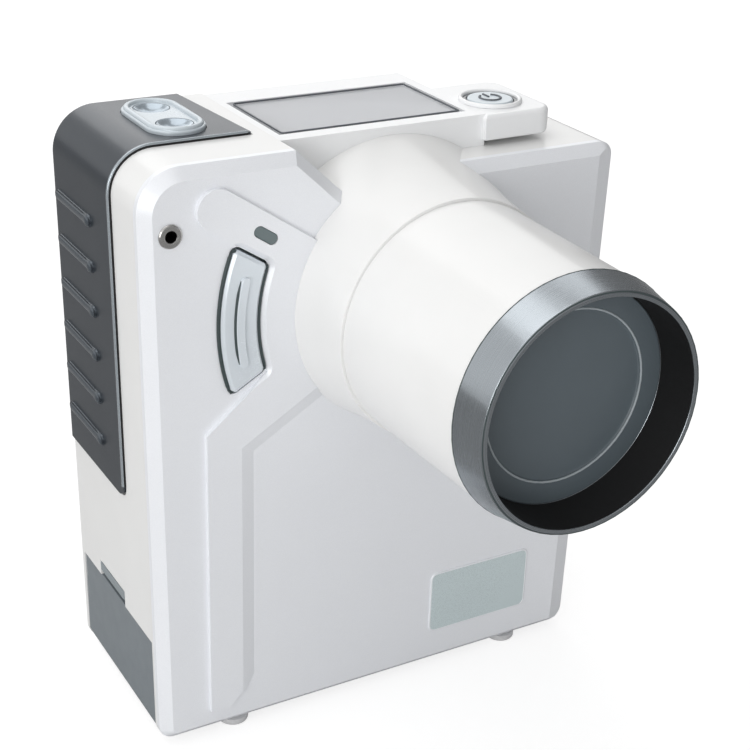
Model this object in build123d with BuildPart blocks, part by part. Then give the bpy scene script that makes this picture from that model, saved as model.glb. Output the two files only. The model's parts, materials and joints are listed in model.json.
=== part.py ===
"""Portable dental x-ray unit, modelled piece by piece at its real size.

A white moulded housing with a silver front panel stands on four feet. The beam cone points
forwards from it along -Y, an exposure trigger lies beside the cone, and a dark grip with two
thumb keys wraps the left shoulder. A display pod with a power button sits on the shelf behind
the cone, and a hinged door low on the left side closes the battery bay.

Lengths are in millimetres and +Z is up. The origin is the middle of the footprint's box, on the
surface that the feet stand on.
"""

import math
import os

from build123d import *

os.makedirs("parts", exist_ok=True)

# Overall sizes of the body
body_width = 159.8
body_depth = 71.0
column_height = 190.1
shelf_drop = 10.5
cone_reach = 91.4
foot_height = 2.2
wall = 3.0

# Both sides lean out towards the top
left_lean = 2.0
right_lean = 3.4

# Clearances: a moving piece in its hole, and two fixed pieces side by side
running_gap = 0.25
seat_gap = 0.15

# The grip stands a little proud of the side and carries raised ribs
grip_proud = 0.8
grip_seat = 1.4
rib_rise = 0.8

# Planes that the rest is placed from
left = (grip_proud + rib_rise + left_lean - body_width) / 2
right = left + body_width
front = (cone_reach - body_depth) / 2
back = front + body_depth
base = foot_height
column_top = base + column_height
shelf_top = column_top - shelf_drop

# Outline of the housing seen from the front
shoulder_radius = 13.0
base_radius = 5.0
shelf_radius = 5.0
slope_top = left + 46.8
slope_foot = left + 58.0
notch_foot = left + 66.0
notch_end = left + 98.0
notch_depth = 7.5

# Front panel and the raised band on it
panel_depth = 7.0
panel_bevel = 3.4
right_bevel = 7.2
panel_wall = 2.4
ridge_rise = 1.5
well_foot = 0.9
well_top = 2.4
ridge_flank = 4.5
panel_face = front + ridge_rise
panel_back = front + panel_depth
ridge_left = left + 16.0
ridge_right = left + 31.7
ridge_foot = base + 8.7
ridge_foot_cut = 9.0
ridge_bend = column_top - 82.0
ridge_inner_bend = column_top - 91.0
ridge_slope = 31.0
band_angle = -34.0
band_width = 12.5
band_length = 40.0
band_x = left + 20.5
band_z = column_top - 12.8
hug_radius = 51.9

# Beam cone, along -Y
cone_x = left + 85.4
cone_z = column_top - 49.2
collar_back = front + 16.5
collar_back_radius = 46.2
collar_face_radius = 41.4
collar_seam = front - 22.4
collar_seam_radius = 37.8
tube_radius = 37.0
tube_end_radius = 36.0
tube_end = front - 80.1
ring_front = front - cone_reach
ring_radius = 36.6
ring_front_radius = 34.6
ring_lip_radius = 33.0
ring_round = 0.5
window_face = front - 78.5
window_radius = 31.8
window_step_radius = 25.1
window_step = 0.8
window_thickness = 3.0
cone_wall = 2.6

# Exposure trigger, a curved key beside the cone
trigger_centre = 178.5
trigger_inner = 52.6
trigger_outer = 64.4
trigger_inner_angle = 18.3
trigger_outer_angle = 20.75
trigger_gap = 0.8
trigger_frame = 1.4
trigger_corner = 1.5
trigger_lip = 1.0
trigger_proud = 1.6
trigger_bevel = 1.0
trigger_travel = 1.8
trigger_rib_radius = 58.6
trigger_rib_angle = 12.5
trigger_rib_width = 2.6
trigger_rib_rise = 1.0
trigger_flange = 1.0
trigger_flange_reach = 1.2
plunger_radius = 1.5
plunger_hole_radius = 4.0
plunger_length = 6.0
trigger_board_width = 14.0
trigger_board_length = 27.0
spring_wire = 0.6
spring_radius = 2.8
spring_turns = 4
switch_gap = 0.1

# Remote jack, indicator and name plate on the panel
jack_x = left + 6.6
jack_z = column_top - 18.6
jack_ring_radius = 3.6
jack_bore_radius = 1.8
jack_length = 14.0
jack_rim = 0.8
jack_block = 9.0
jack_block_depth = 13.0
indicator_length = 8.4
indicator_width = 3.6
indicator_along = 17.4
indicator_across = 0.4
led_radius = 1.5
led_length = 4.5
plate_left = left + 97.9
plate_low = base + 13.7
plate_width = 38.6
plate_height = 22.6
plate_thickness = 1.0
plate_sink = 0.5
plate_radius = 2.5

# Grip and thumb keys
grip_front = front + 24.4
grip_low = column_top - 110.6
grip_tip = left + 42.0
grip_back_edge = left + 38.5
grip_corner = 4.0
grip_seam = 0.5
rib_count = 6
rib_pitch = 14.5
rib_low = column_top - 98.0
rib_front = front + 39.5
rib_back = back - 2.0
rib_width = 3.2
key_plate_x = left + 23.6
key_plate_y = back - 24.7
key_plate_width = 18.4
key_plate_length = 35.6
key_plate_radius = 9.0
key_plate_rise = 1.2
key_radius = 5.4
key_spacing = 18.0
key_rise = 0.3
key_flange = 1.0
key_flange_reach = 1.0
dish_depth = 1.4
dome_height = 2.4
dome_wall = 0.8
key_board_width = 22.0
key_board_length = 42.0
key_post_radius = 2.0
key_post_spacing = 37.4

# Display pod and power button
pod_front = collar_back
pod_right = left + 118.5
pod_top = column_top - 0.5
pod_wall = 2.2
screen_left = left + 51.5
screen_width = 61.5
screen_front = front + 23.3
screen_length = 34.7
screen_sink = 0.5
glass_thickness = 1.0
screen_ledge = 1.5
display_thickness = 2.0
lobe_right = left + 143.5
lobe_front = front + 14.5
lobe_back = front + 50.5
lobe_lift = 1.8
lobe_radius = 6.0
lobe_round = 1.5
lobe_foot_round = 0.8
power_x = left + 128.3
power_y = front + 29.3
power_ring_outer = 10.2
power_ring_inner = 8.8
power_ring_rise = 1.3
power_light_inner = 7.7
power_radius = 7.45
power_rise = 0.9
power_flange = 0.8

# Battery door, its latch, and the bay behind it
door_low = base + 2.0
door_high = base + 35.3
door_front = front + 8.4
door_back = back - 2.4
door_thickness = 2.6
hinge_inset = 3.0
pin_radius = 1.0
pin_overlap = 1.0
latch_front = front + 31.0
latch_width = 21.5
latch_high = base + 41.1
latch_travel = 2.0
cell_radius = 9.2
cell_length = 66.0
cell_count = 3
bay_wall = 1.6
cell_bed = base + 9.0

# Rear cover, screws, feet and tripod insert
rear_thickness = 3.0
screw_radius = 1.5
screw_head_radius = 2.9
screw_head_height = 1.6
screw_length = 12.0
boss_radius = 3.6
foot_radius = 5.0
foot_left = left + 27.0
foot_right = left + 132.3
foot_inset = 8.0
tripod_x = left + 104.0
tripod_radius = 4.8
thread_radius = 2.55
thread_length = 9.0
insert_length = 11.0

# Tube head and boards inside
head_half_width = 41.0
head_half_height = 31.0
head_standoff = 3.0
head_back = back - 14.0
head_wall = 3.0
lead_thickness = 1.5
glass_radius = 13.0
glass_length = 62.0
glass_wall = 1.2
focus_y = front + 35.0
port_radius = 14.0
board_thickness = 1.6

# Axis of the cone, and the plane that its turned profiles are drawn in
beam_plane = Plane(origin=(cone_x, 0, cone_z), x_dir=(0, 1, 0), z_dir=(1, 0, 0))
beam_axis = Axis((cone_x, 0, cone_z), (0, 1, 0))


def facing(y):
    """Return the plane at depth y that faces the front, drawn in X and Z."""
    return Plane.XZ.offset(-y)


def level(z):
    """Return the horizontal plane at height z, drawn in X and Y."""
    return Plane.XY.offset(z)


def side(x):
    """Return the plane at x that faces right, drawn in Y and Z."""
    return Plane.YZ.offset(x)


def around_beam(radius, degrees):
    """Return the X and Z of a point at a radius and angle about the beam axis."""
    angle = math.radians(degrees)
    return (cone_x + radius * math.cos(angle), cone_z + radius * math.sin(angle))


# Outlines seen from the front
with BuildSketch() as body_outline:
    with BuildLine():
        Polyline(
            (left, base),
            (left - left_lean, column_top),
            (slope_top, column_top),
            (slope_foot, shelf_top),
            (right, shelf_top),
            (right - right_lean, base),
            close=True,
        )
    make_face()
    fillet(body_outline.vertices().group_by(Axis.Y)[0], radius=base_radius)
    fillet(body_outline.vertices().sort_by_distance((left, column_top))[0], radius=shoulder_radius)
    fillet(body_outline.vertices().sort_by_distance((right, shelf_top))[0], radius=shelf_radius)

# Under the collar the shelf dips in line with the slope beside the pod
with BuildSketch() as notch_outline:
    Polygon(
        (slope_foot, shelf_top),
        (notch_foot, shelf_top - notch_depth),
        (notch_end, shelf_top - notch_depth),
        (notch_end, shelf_top),
        (notch_foot, shelf_top + notch_depth),
        align=None,
    )

with BuildSketch() as panel_outline:
    add(body_outline.sketch)
    add(notch_outline.sketch, mode=Mode.SUBTRACT)

with BuildSketch() as trigger_outline:
    with BuildLine():
        outer_arc = ThreePointArc(
            around_beam(trigger_outer, trigger_centre - trigger_outer_angle),
            around_beam(trigger_outer, trigger_centre),
            around_beam(trigger_outer, trigger_centre + trigger_outer_angle),
        )
        inner_arc = ThreePointArc(
            around_beam(trigger_inner, trigger_centre + trigger_inner_angle),
            around_beam(trigger_inner, trigger_centre),
            around_beam(trigger_inner, trigger_centre - trigger_inner_angle),
        )
        Line(outer_arc @ 1, inner_arc @ 0)
        Line(inner_arc @ 1, outer_arc @ 0)
    make_face()
    fillet(trigger_outline.vertices(), radius=trigger_corner)

with BuildSketch() as cavity_outline:
    add(body_outline.sketch)
    offset(amount=-wall, kind=Kind.INTERSECTION)

# The low field right of the ridge, whose edge climbs under the collar
ridge_slope_end = ridge_inner_bend + (cone_x - ridge_right) * math.tan(math.radians(ridge_slope))
with BuildSketch() as low_field:
    with BuildLine():
        Polyline(
            (ridge_right, base - body_width),
            (ridge_right, ridge_inner_bend),
            (cone_x, ridge_slope_end),
            (right + body_width, ridge_slope_end),
            (right + body_width, base - body_width),
            close=True,
        )
    make_face()

# The leaning band ends in a half round beside the shoulder and runs under the collar
with BuildSketch() as platform_outline:
    with BuildLine():
        Polyline(
            (cone_x, cone_z),
            around_beam(hug_radius, 180 + band_angle),
            around_beam(2 * hug_radius, 180 + band_angle / 2),
            around_beam(2 * hug_radius, 205),
            around_beam(hug_radius, 220),
            close=True,
        )
    make_face()
    with Locations((cone_x, cone_z)):
        Circle(hug_radius, mode=Mode.INTERSECT)
    with BuildLine():
        Polyline(
            (ridge_left, ridge_foot),
            (ridge_left, ridge_bend),
            around_beam(hug_radius, 198),
            (cone_x, cone_z),
            (cone_x, ridge_slope_end),
            (ridge_right, ridge_inner_bend),
            (ridge_right, ridge_foot + ridge_foot_cut),
            (ridge_right - ridge_foot_cut, ridge_foot),
            close=True,
        )
    make_face()
    with Locations(Location((band_x, band_z), band_angle)):
        Circle(band_width / 2)
        with Locations((band_length / 2, 0)):
            Rectangle(band_length, band_width)


# Front panel before it is hollowed: a bevelled plate with the raised band on it
with BuildPart() as panel_blank:
    with BuildSketch(facing(panel_back)):
        add(panel_outline.sketch)
    extrude(amount=panel_back - panel_face)
    chamfer(panel_blank.faces().sort_by(Axis.Y)[0].edges(), length=panel_bevel)
    # The right side falls back in a wider bevel that follows the leaning edge
    for z, x in ((base, right - right_lean), (shelf_top, right)):
        with BuildSketch(level(z)):
            Polygon(
                (x - right_bevel, panel_face),
                (x, panel_face + panel_bevel),
                (x + right_bevel, panel_face + panel_bevel),
                (x + right_bevel, panel_face - panel_bevel),
                (x - right_bevel, panel_face - panel_bevel),
                align=None,
            )
    loft(mode=Mode.SUBTRACT)
    with BuildSketch(facing(panel_face)):
        add(platform_outline.sketch)
    extrude(amount=ridge_rise)
    # The trigger lies in a well with sloped sides, sunk into the band
    with BuildSketch(facing(panel_face)):
        add(trigger_outline.sketch)
        offset(amount=well_foot)
    with BuildSketch(facing(front)):
        add(trigger_outline.sketch)
        offset(amount=well_top)
    loft(mode=Mode.SUBTRACT)
    # The ridge falls to the low field in a wide flank
    with BuildSketch(facing(panel_face)):
        add(low_field.sketch)
    with BuildSketch(facing(front)):
        add(low_field.sketch)
        offset(amount=ridge_flank, kind=Kind.INTERSECTION)
    loft(mode=Mode.SUBTRACT)

# Front panel, a silver tray with openings for the cone, the trigger, the jack and the lamp
sleeve_radius = collar_seam_radius - cone_wall
band_turn = math.radians(band_angle)
indicator_x = band_x + indicator_along * math.cos(band_turn) - indicator_across * math.sin(band_turn)
indicator_z = band_z + indicator_along * math.sin(band_turn) + indicator_across * math.cos(band_turn)
plate_x = plate_left + plate_width / 2
plate_z = plate_low + plate_height / 2

with BuildPart() as panel:
    add(panel_blank.part)
    with BuildSketch(facing(panel_back)):
        add(panel_outline.sketch)
        offset(amount=-panel_wall, kind=Kind.INTERSECTION)
    extrude(amount=panel_back - panel_face - panel_wall, mode=Mode.SUBTRACT)
    with BuildSketch(facing(panel_back)):
        with Locations((cone_x, cone_z)):
            Circle(sleeve_radius + seat_gap)
        with Locations((jack_x, jack_z)):
            Circle(jack_ring_radius - jack_rim)
        with Locations(Location((indicator_x, indicator_z), band_angle)):
            SlotOverall(indicator_length, indicator_width)
    extrude(amount=2 * panel_depth, mode=Mode.SUBTRACT)
    with BuildSketch(facing(panel_back)):
        add(trigger_outline.sketch)
        offset(amount=trigger_gap)
    extrude(amount=2 * panel_depth, mode=Mode.SUBTRACT)
    with BuildSketch(facing(panel_face + trigger_lip)):
        add(trigger_outline.sketch)
        offset(amount=trigger_frame)
    extrude(amount=-panel_depth, mode=Mode.SUBTRACT)
    with BuildSketch(facing(panel_face + plate_sink)):
        with Locations((plate_x, plate_z)):
            RectangleRounded(plate_width, plate_height, plate_radius)
    extrude(amount=panel_depth, mode=Mode.SUBTRACT)
panel.part.label = "front_panel"
export_step(panel.part, "parts/front_panel.step")

# Name plate, blank, let into the low field
with BuildPart() as name_plate:
    with BuildSketch(facing(panel_face + plate_sink)):
        with Locations((plate_x, plate_z)):
            RectangleRounded(plate_width, plate_height, plate_radius)
    extrude(amount=plate_thickness)
    chamfer(name_plate.faces().sort_by(Axis.Y)[0].edges(), length=plate_thickness / 4)
name_plate.part.label = "name_plate"
export_step(name_plate.part, "parts/name_plate.step")

# Outer form of the grip, also cut from the housing with a seam round it
def grip_prism(seam):
    """Return the block over the left shoulder that the grip fills, grown by a seam."""
    with BuildPart() as block:
        with BuildSketch(level(grip_low - seam)):
            with BuildLine():
                Polyline(
                    (left - 2 * wall, grip_front - seam),
                    (grip_tip + seam, grip_front - seam),
                    (grip_back_edge + seam, back),
                    (left - 2 * wall, back),
                    close=True,
                )
            make_face()
        extrude(amount=column_height)
        low_edge = block.edges().filter_by(Axis.X).group_by(Axis.Z)[0].sort_by(Axis.Y)[0]
        fillet(low_edge, radius=grip_corner)
        with BuildSketch(facing(back)):
            add(body_outline.sketch)
            offset(amount=-grip_seat, kind=Kind.INTERSECTION)
        extrude(amount=body_depth, mode=Mode.SUBTRACT)
    return block.part


# Main housing, a white tub that is open at the back
housing_front = panel_back
housing_inside = housing_front + wall
rear_face = back - rear_thickness
hinge_x = left + hinge_inset
hinge_z = door_low + hinge_inset
window_low = door_low - running_gap
window_front = door_front - running_gap
window_back = door_back + running_gap
boss_places = [
    (left + 8.5, column_top - 34.1),
    (left + 8.5, base + 50.0),
    (left + 89.0, base + 9.0),
    (right - 8.5 - right_lean, base + 9.0),
    (right - 8.5, shelf_top - 9.0),
    (left + 42.0, shelf_top - 4.0),
]
head_places = [
    (cone_x + i * (head_half_width - boss_radius), cone_z + j * (head_half_height - boss_radius))
    for i in (-1, 1)
    for j in (-1, 1)
]
key_places = [(key_plate_x, key_plate_y + i * key_spacing / 2) for i in (-1, 1)]
key_post_places = [(key_plate_x, key_plate_y + i * key_post_spacing / 2) for i in (-1, 1)]
key_board_top = column_top - wall - seat_gap - key_flange - dome_height
trigger_x = cone_x - (trigger_inner + trigger_outer) / 2
trigger_board_front = housing_inside + 5.0
trigger_post_places = [(trigger_x, cone_z + i * 11.0) for i in (-1, 1)]
tripod_y = front + body_depth / 2

with BuildPart() as housing:
    with BuildSketch(facing(back)):
        add(body_outline.sketch)
    extrude(amount=back - housing_front)
    with BuildSketch(facing(back)):
        add(cavity_outline.sketch)
    extrude(amount=back - housing_inside, mode=Mode.SUBTRACT)
    with BuildSketch(facing(collar_back)):
        add(notch_outline.sketch)
    extrude(amount=collar_back - housing_front, mode=Mode.SUBTRACT)
    # Bosses for the rear cover's screws, standoffs for the tube head and the trigger board
    with BuildSketch(facing(rear_face)):
        with Locations(*boss_places):
            Circle(boss_radius)
    extrude(amount=rear_face - housing_inside)
    with BuildSketch(facing(housing_inside + head_standoff)):
        with Locations(*head_places):
            Circle(boss_radius)
    extrude(amount=head_standoff)
    with BuildSketch(facing(trigger_board_front)):
        with Locations(*trigger_post_places):
            Circle(key_post_radius)
    extrude(amount=trigger_board_front - housing_inside)
    with BuildSketch(facing(rear_face)):
        with Locations(*boss_places):
            Circle(screw_radius)
    extrude(amount=screw_length, mode=Mode.SUBTRACT)
    # Openings in the front wall
    with BuildSketch(facing(housing_inside)):
        with Locations((cone_x, cone_z)):
            Circle(sleeve_radius + seat_gap)
        with Locations((trigger_x, cone_z)):
            Circle(plunger_hole_radius)
        with Locations((jack_x, jack_z)):
            Circle(jack_ring_radius - jack_rim)
        with Locations((indicator_x, indicator_z)):
            Circle(led_radius)
    extrude(amount=2 * wall, mode=Mode.SUBTRACT)
    # Seat of the grip, the thumb keys' shafts and the posts of their board
    add(grip_prism(grip_seam), mode=Mode.SUBTRACT)
    with BuildSketch(level(key_board_top)):
        with Locations(*key_post_places):
            Circle(key_post_radius)
    extrude(amount=column_top - wall / 2 - grip_seat / 2 - key_board_top)
    with BuildSketch(level(column_top - 2 * wall)):
        with Locations(*key_places):
            Circle(key_radius + running_gap)
    extrude(amount=3 * wall, mode=Mode.SUBTRACT)
    # Window of the battery door, its hinge groove and the ear that holds the pin's far end
    with BuildSketch(facing(window_back)):
        with BuildLine():
            Polyline(
                (left - wall, window_low),
                (hinge_x, window_low),
                (hinge_x, door_high + running_gap),
                (left - wall, door_high + running_gap),
                close=True,
            )
        make_face()
        with Locations((hinge_x, hinge_z)):
            Circle(hinge_inset + running_gap)
    extrude(amount=window_back - window_front, mode=Mode.SUBTRACT)
    with BuildSketch(facing(back)):
        with Locations((hinge_x, hinge_z)):
            Circle(hinge_inset)
    extrude(amount=back - window_back)
    with BuildSketch(facing(window_back + pin_overlap)):
        with Locations((hinge_x, hinge_z)):
            Circle(pin_radius)
    extrude(amount=window_back - window_front + 2 * pin_overlap, mode=Mode.SUBTRACT)
    # Notch for the latch's tab above the door
    with BuildSketch(facing(latch_front + latch_width + running_gap)):
        with BuildLine():
            Polyline(
                (left - wall, door_high),
                (left + wall + running_gap, door_high),
                (left + wall + running_gap, latch_high + running_gap),
                (left - wall, latch_high + running_gap),
                close=True,
            )
        make_face()
    extrude(amount=latch_width + 2 * running_gap, mode=Mode.SUBTRACT)
    # Boss round the tripod insert
    with BuildSketch(level(base)):
        with Locations((tripod_x, tripod_y)):
            Circle(tripod_radius + wall)
    extrude(amount=insert_length + wall / 2)
    with BuildSketch(level(base)):
        with Locations((tripod_x, tripod_y)):
            Circle(tripod_radius)
    extrude(amount=insert_length, mode=Mode.SUBTRACT)
housing.part.label = "main_housing"
export_step(housing.part, "parts/main_housing.step")

# Rear cover, let into the tub's rim and notched round the hinge ear
with BuildPart() as rear_cover:
    with BuildSketch(facing(back)):
        add(cavity_outline.sketch)
        offset(amount=-seat_gap, kind=Kind.INTERSECTION)
        with Locations((hinge_x, hinge_z)):
            Circle(hinge_inset + seat_gap, mode=Mode.SUBTRACT)
    extrude(amount=rear_thickness)
    with Locations(*[Location((x, back, z), (-90, 0, 0)) for x, z in boss_places]):
        CounterBoreHole(screw_radius + seat_gap, screw_head_radius + seat_gap, screw_head_height)
rear_cover.part.label = "rear_cover"
export_step(rear_cover.part, "parts/rear_cover.step")

# Screws of the rear cover
with BuildPart() as case_screws:
    with BuildSketch(facing(back)):
        with Locations(*boss_places):
            Circle(screw_head_radius)
    extrude(amount=screw_head_height)
    with BuildSketch(facing(back - screw_head_height)):
        with Locations(*boss_places):
            Circle(screw_radius)
    extrude(amount=screw_length - seat_gap)
case_screws.part.label = "case_screws"
export_step(case_screws.part, "parts/case_screws.step")

# Grip, a soft dark pad over the shoulder with six ribs for the palm
key_plate_top = column_top + grip_proud + key_plate_rise
with BuildPart() as grip:
    with BuildSketch(facing(back)):
        add(body_outline.sketch)
        offset(amount=grip_proud, kind=Kind.ARC)
    extrude(amount=body_depth)
    add(grip_prism(0), mode=Mode.INTERSECT)
    rib_length = rib_back - rib_front
    rib_middle = (rib_front + rib_back) / 2
    rib_plane = Plane(
        origin=(left - grip_proud, 0, base), x_dir=(0, 1, 0), z_dir=(column_height, 0, left_lean)
    )
    with BuildSketch(rib_plane):
        with Locations(*[(rib_middle, rib_low - base + i * rib_pitch) for i in range(rib_count)]):
            SlotOverall(rib_length, rib_width)
    extrude(amount=-rib_rise)
    with BuildSketch(level(column_top - wall)):
        with Locations((key_plate_x, key_plate_y)):
            RectangleRounded(
                key_plate_width + 2 * seat_gap, key_plate_length + 2 * seat_gap, key_plate_radius
            )
    extrude(amount=3 * wall, mode=Mode.SUBTRACT)
grip.part.label = "grip"
export_step(grip.part, "parts/grip.step")

# Thumb key plate, and the two dished keys that move in it
with BuildPart() as key_plate:
    with BuildSketch(level(column_top - grip_seat)):
        with Locations((key_plate_x, key_plate_y)):
            RectangleRounded(key_plate_width, key_plate_length, key_plate_radius)
    extrude(amount=key_plate_top - column_top + grip_seat)
    fillet(key_plate.faces().sort_by(Axis.Z)[-1].edges(), radius=key_plate_rise / 2)
    with BuildSketch(level(column_top - grip_seat)):
        with Locations(*key_places):
            Circle(key_radius + running_gap)
    extrude(amount=2 * wall, mode=Mode.SUBTRACT)
key_plate.part.label = "thumb_key_plate"
export_step(key_plate.part, "parts/thumb_key_plate.step")

flange_top = column_top - wall - seat_gap
dish_radius = (key_radius**2 + dish_depth**2) / (2 * dish_depth)
for name, (x, y) in zip(("front", "rear"), key_places):
    with BuildPart() as key:
        with BuildSketch(level(flange_top - key_flange)):
            with Locations((x, y)):
                Circle(key_radius + key_flange_reach)
        extrude(amount=key_flange)
        with BuildSketch(level(flange_top)):
            with Locations((x, y)):
                Circle(key_radius)
        extrude(amount=key_plate_top + key_rise - flange_top)
        with Locations((x, y, key_plate_top + key_rise + dish_radius - dish_depth)):
            Sphere(dish_radius, mode=Mode.SUBTRACT)
    key.part.label = f"thumb_key_{name}"
    export_step(key.part, f"parts/thumb_key_{name}.step")

    with BuildPart() as dome:
        with BuildSketch(Plane(origin=(x, y, key_board_top), x_dir=(1, 0, 0), z_dir=(0, -1, 0))):
            with BuildLine():
                Polyline(
                    (key_radius - dome_wall, 0),
                    (key_radius, 0),
                    (key_radius / 2, dome_height),
                    (0, dome_height),
                    (0, dome_height - dome_wall),
                    (key_radius / 2 - dome_wall / 2, dome_height - dome_wall),
                    close=True,
                )
            make_face()
        revolve(axis=Axis((x, y, 0), (0, 0, 1)))
    dome.part.label = f"key_dome_{name}"
    export_step(dome.part, f"parts/key_dome_{name}.step")

with BuildPart() as key_board:
    with BuildSketch(level(key_board_top)):
        with Locations((key_plate_x, key_plate_y)):
            Rectangle(key_board_width, key_board_length)
    extrude(amount=-board_thickness)
key_board.part.label = "key_board"
export_step(key_board.part, "parts/key_board.step")

# Exposure trigger: the key with its finger rib, a flange behind the panel and a plunger
flange_front = panel_face + panel_wall + seat_gap
flange_back = flange_front + trigger_flange
with BuildSketch() as trigger_rib_outline:
    rib_arc = ThreePointArc(
        around_beam(trigger_rib_radius, trigger_centre - trigger_rib_angle),
        around_beam(trigger_rib_radius, trigger_centre),
        around_beam(trigger_rib_radius, trigger_centre + trigger_rib_angle),
        mode=Mode.PRIVATE,
    )
    SlotArc(rib_arc, trigger_rib_width)

with BuildPart() as trigger:
    with BuildSketch(facing(flange_back)):
        add(trigger_outline.sketch)
    extrude(amount=flange_back - panel_face + trigger_proud)
    chamfer(trigger.faces().sort_by(Axis.Y)[0].edges(), length=trigger_bevel)
    with BuildSketch(facing(flange_back)):
        add(trigger_outline.sketch)
        offset(amount=trigger_frame + trigger_flange_reach)
    extrude(amount=trigger_flange)
    with BuildSketch(facing(panel_face)):
        add(trigger_rib_outline.sketch)
    extrude(amount=trigger_proud + trigger_rib_rise)
    with BuildSketch(facing(flange_back)):
        with Locations((trigger_x, cone_z)):
            Circle(plunger_radius)
    extrude(amount=-plunger_length)
trigger.part.label = "exposure_trigger"
export_step(trigger.part, "parts/exposure_trigger.step")

# Dark frame that lines the trigger's well in the panel
with BuildPart() as trigger_bezel:
    with BuildSketch(facing(panel_face + panel_wall)):
        add(trigger_outline.sketch)
        offset(amount=trigger_frame)
        offset(trigger_outline.sketch, amount=running_gap, mode=Mode.SUBTRACT)
    extrude(amount=panel_wall - trigger_lip - seat_gap)
trigger_bezel.part.label = "trigger_bezel"
export_step(trigger_bezel.part, "parts/trigger_bezel.step")

# Trigger return spring, from the key's back to the trigger board
spring_length = trigger_board_front - flange_back
with BuildPart() as trigger_spring:
    with BuildLine():
        coil = Helix(
            pitch=(spring_length - spring_wire) / spring_turns,
            height=spring_length - spring_wire,
            radius=spring_radius,
            center=(trigger_x, flange_back + spring_wire / 2, cone_z),
            direction=(0, 1, 0),
        )
    with BuildSketch(Plane(origin=coil @ 0, z_dir=coil % 0)):
        RegularPolygon(spring_wire / 2, 6)
    sweep(is_frenet=True)
trigger_spring.part.label = "trigger_spring"
export_step(trigger_spring.part, "parts/trigger_spring.step")

# Trigger board with its push switch
switch_front = flange_back + plunger_length + trigger_travel + switch_gap
with BuildPart() as trigger_board:
    with BuildSketch(facing(trigger_board_front)):
        with Locations((trigger_x, cone_z)):
            Rectangle(trigger_board_width, trigger_board_length)
    extrude(amount=-board_thickness)
    with BuildSketch(facing(trigger_board_front)):
        with Locations((trigger_x, cone_z)):
            Circle(plunger_radius)
    extrude(amount=trigger_board_front - switch_front)
trigger_board.part.label = "trigger_board"
export_step(trigger_board.part, "parts/trigger_board.step")

# Remote jack: a metal sleeve in the panel and the moulded block behind the wall
with BuildPart() as jack:
    with BuildSketch(facing(panel_face)):
        with Locations((jack_x, jack_z)):
            Circle(jack_ring_radius)
    extrude(amount=jack_rim)
    chamfer(jack.faces().sort_by(Axis.Y)[0].edges(), length=jack_rim / 2)
    with BuildSketch(facing(panel_face)):
        with Locations((jack_x, jack_z)):
            Circle(jack_ring_radius - jack_rim)
    extrude(amount=-jack_length)
    with BuildSketch(facing(panel_face + jack_length)):
        with Locations((jack_x, jack_z)):
            Circle(jack_bore_radius)
    extrude(amount=2 * jack_length, mode=Mode.SUBTRACT)
jack.part.label = "remote_jack"
export_step(jack.part, "parts/remote_jack.step")

with BuildPart() as jack_block_part:
    with BuildSketch(facing(housing_inside + jack_block_depth)):
        with Locations((jack_x, jack_z)):
            Rectangle(jack_block, jack_block)
    extrude(amount=jack_block_depth)
    with BuildSketch(facing(panel_face + jack_length)):
        with Locations((jack_x, jack_z)):
            Circle(jack_ring_radius - jack_rim)
    extrude(amount=jack_length, mode=Mode.SUBTRACT)
jack_block_part.part.label = "jack_block"
export_step(jack_block_part.part, "parts/jack_block.step")

# Indicator: a light pipe in the band and the lamp behind it
pipe_back = panel_face + panel_wall
with BuildPart() as indicator:
    with BuildSketch(facing(pipe_back)):
        with Locations(Location((indicator_x, indicator_z), band_angle)):
            SlotOverall(indicator_length - seat_gap, indicator_width - seat_gap)
    extrude(amount=pipe_back - front - seat_gap)
indicator.part.label = "indicator_window"
export_step(indicator.part, "parts/indicator_window.step")

with BuildPart() as lamp:
    with BuildSketch(facing(housing_inside)):
        with Locations((indicator_x, indicator_z)):
            Circle(led_radius - seat_gap)
    extrude(amount=led_length)
    chamfer(lamp.faces().sort_by(Axis.Y)[0].edges(), length=led_radius / 2)
    with BuildSketch(facing(housing_inside)):
        with Locations((indicator_x, indicator_z)):
            Rectangle(indicator_length, indicator_width * 2)
    extrude(amount=-board_thickness)
lamp.part.label = "indicator_lamp"
export_step(lamp.part, "parts/indicator_lamp.step")

# Collar: a flared skirt that rises over the shelf to the pod, a nose for the tube and a sleeve
nose_length = 6.0
nose_radius = tube_radius - cone_wall - seat_gap
nose_wall = 2.0
collar_mid = (panel_face, collar_face_radius)
with BuildPart() as collar:
    with BuildSketch(beam_plane):
        with BuildLine():
            Spline(
                (collar_seam, collar_seam_radius),
                collar_mid,
                (collar_back, collar_back_radius),
                tangents=((1, 0.08), (1, 0.42)),
            )
            Polyline(
                (collar_back, collar_back_radius),
                (collar_back, nose_radius - nose_wall),
                (collar_seam - nose_length, nose_radius - nose_wall),
                (collar_seam - nose_length, nose_radius),
                (collar_seam, nose_radius),
                (collar_seam, collar_seam_radius),
            )
        make_face()
    revolve(axis=beam_axis)
    # Nothing of the skirt lies inside the body, apart from the sleeve through its front
    with BuildSketch(facing(collar_back)):
        add(panel_outline.sketch)
    extrude(amount=collar_back - panel_back, mode=Mode.SUBTRACT)
    with BuildSketch(facing(panel_back)):
        add(panel_outline.sketch)
        offset(amount=-panel_bevel - wall, kind=Kind.INTERSECTION)
    extrude(amount=panel_back - panel_face, mode=Mode.SUBTRACT)
    add(panel_blank.part, mode=Mode.SUBTRACT)
    with BuildSketch(facing(housing_inside)):
        with Locations((cone_x, cone_z)):
            Circle(sleeve_radius)
            Circle(nose_radius - nose_wall, mode=Mode.SUBTRACT)
    extrude(amount=housing_inside - collar_seam)
collar.part.label = "cone_collar"
export_step(collar.part, "parts/cone_collar.step")

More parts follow.
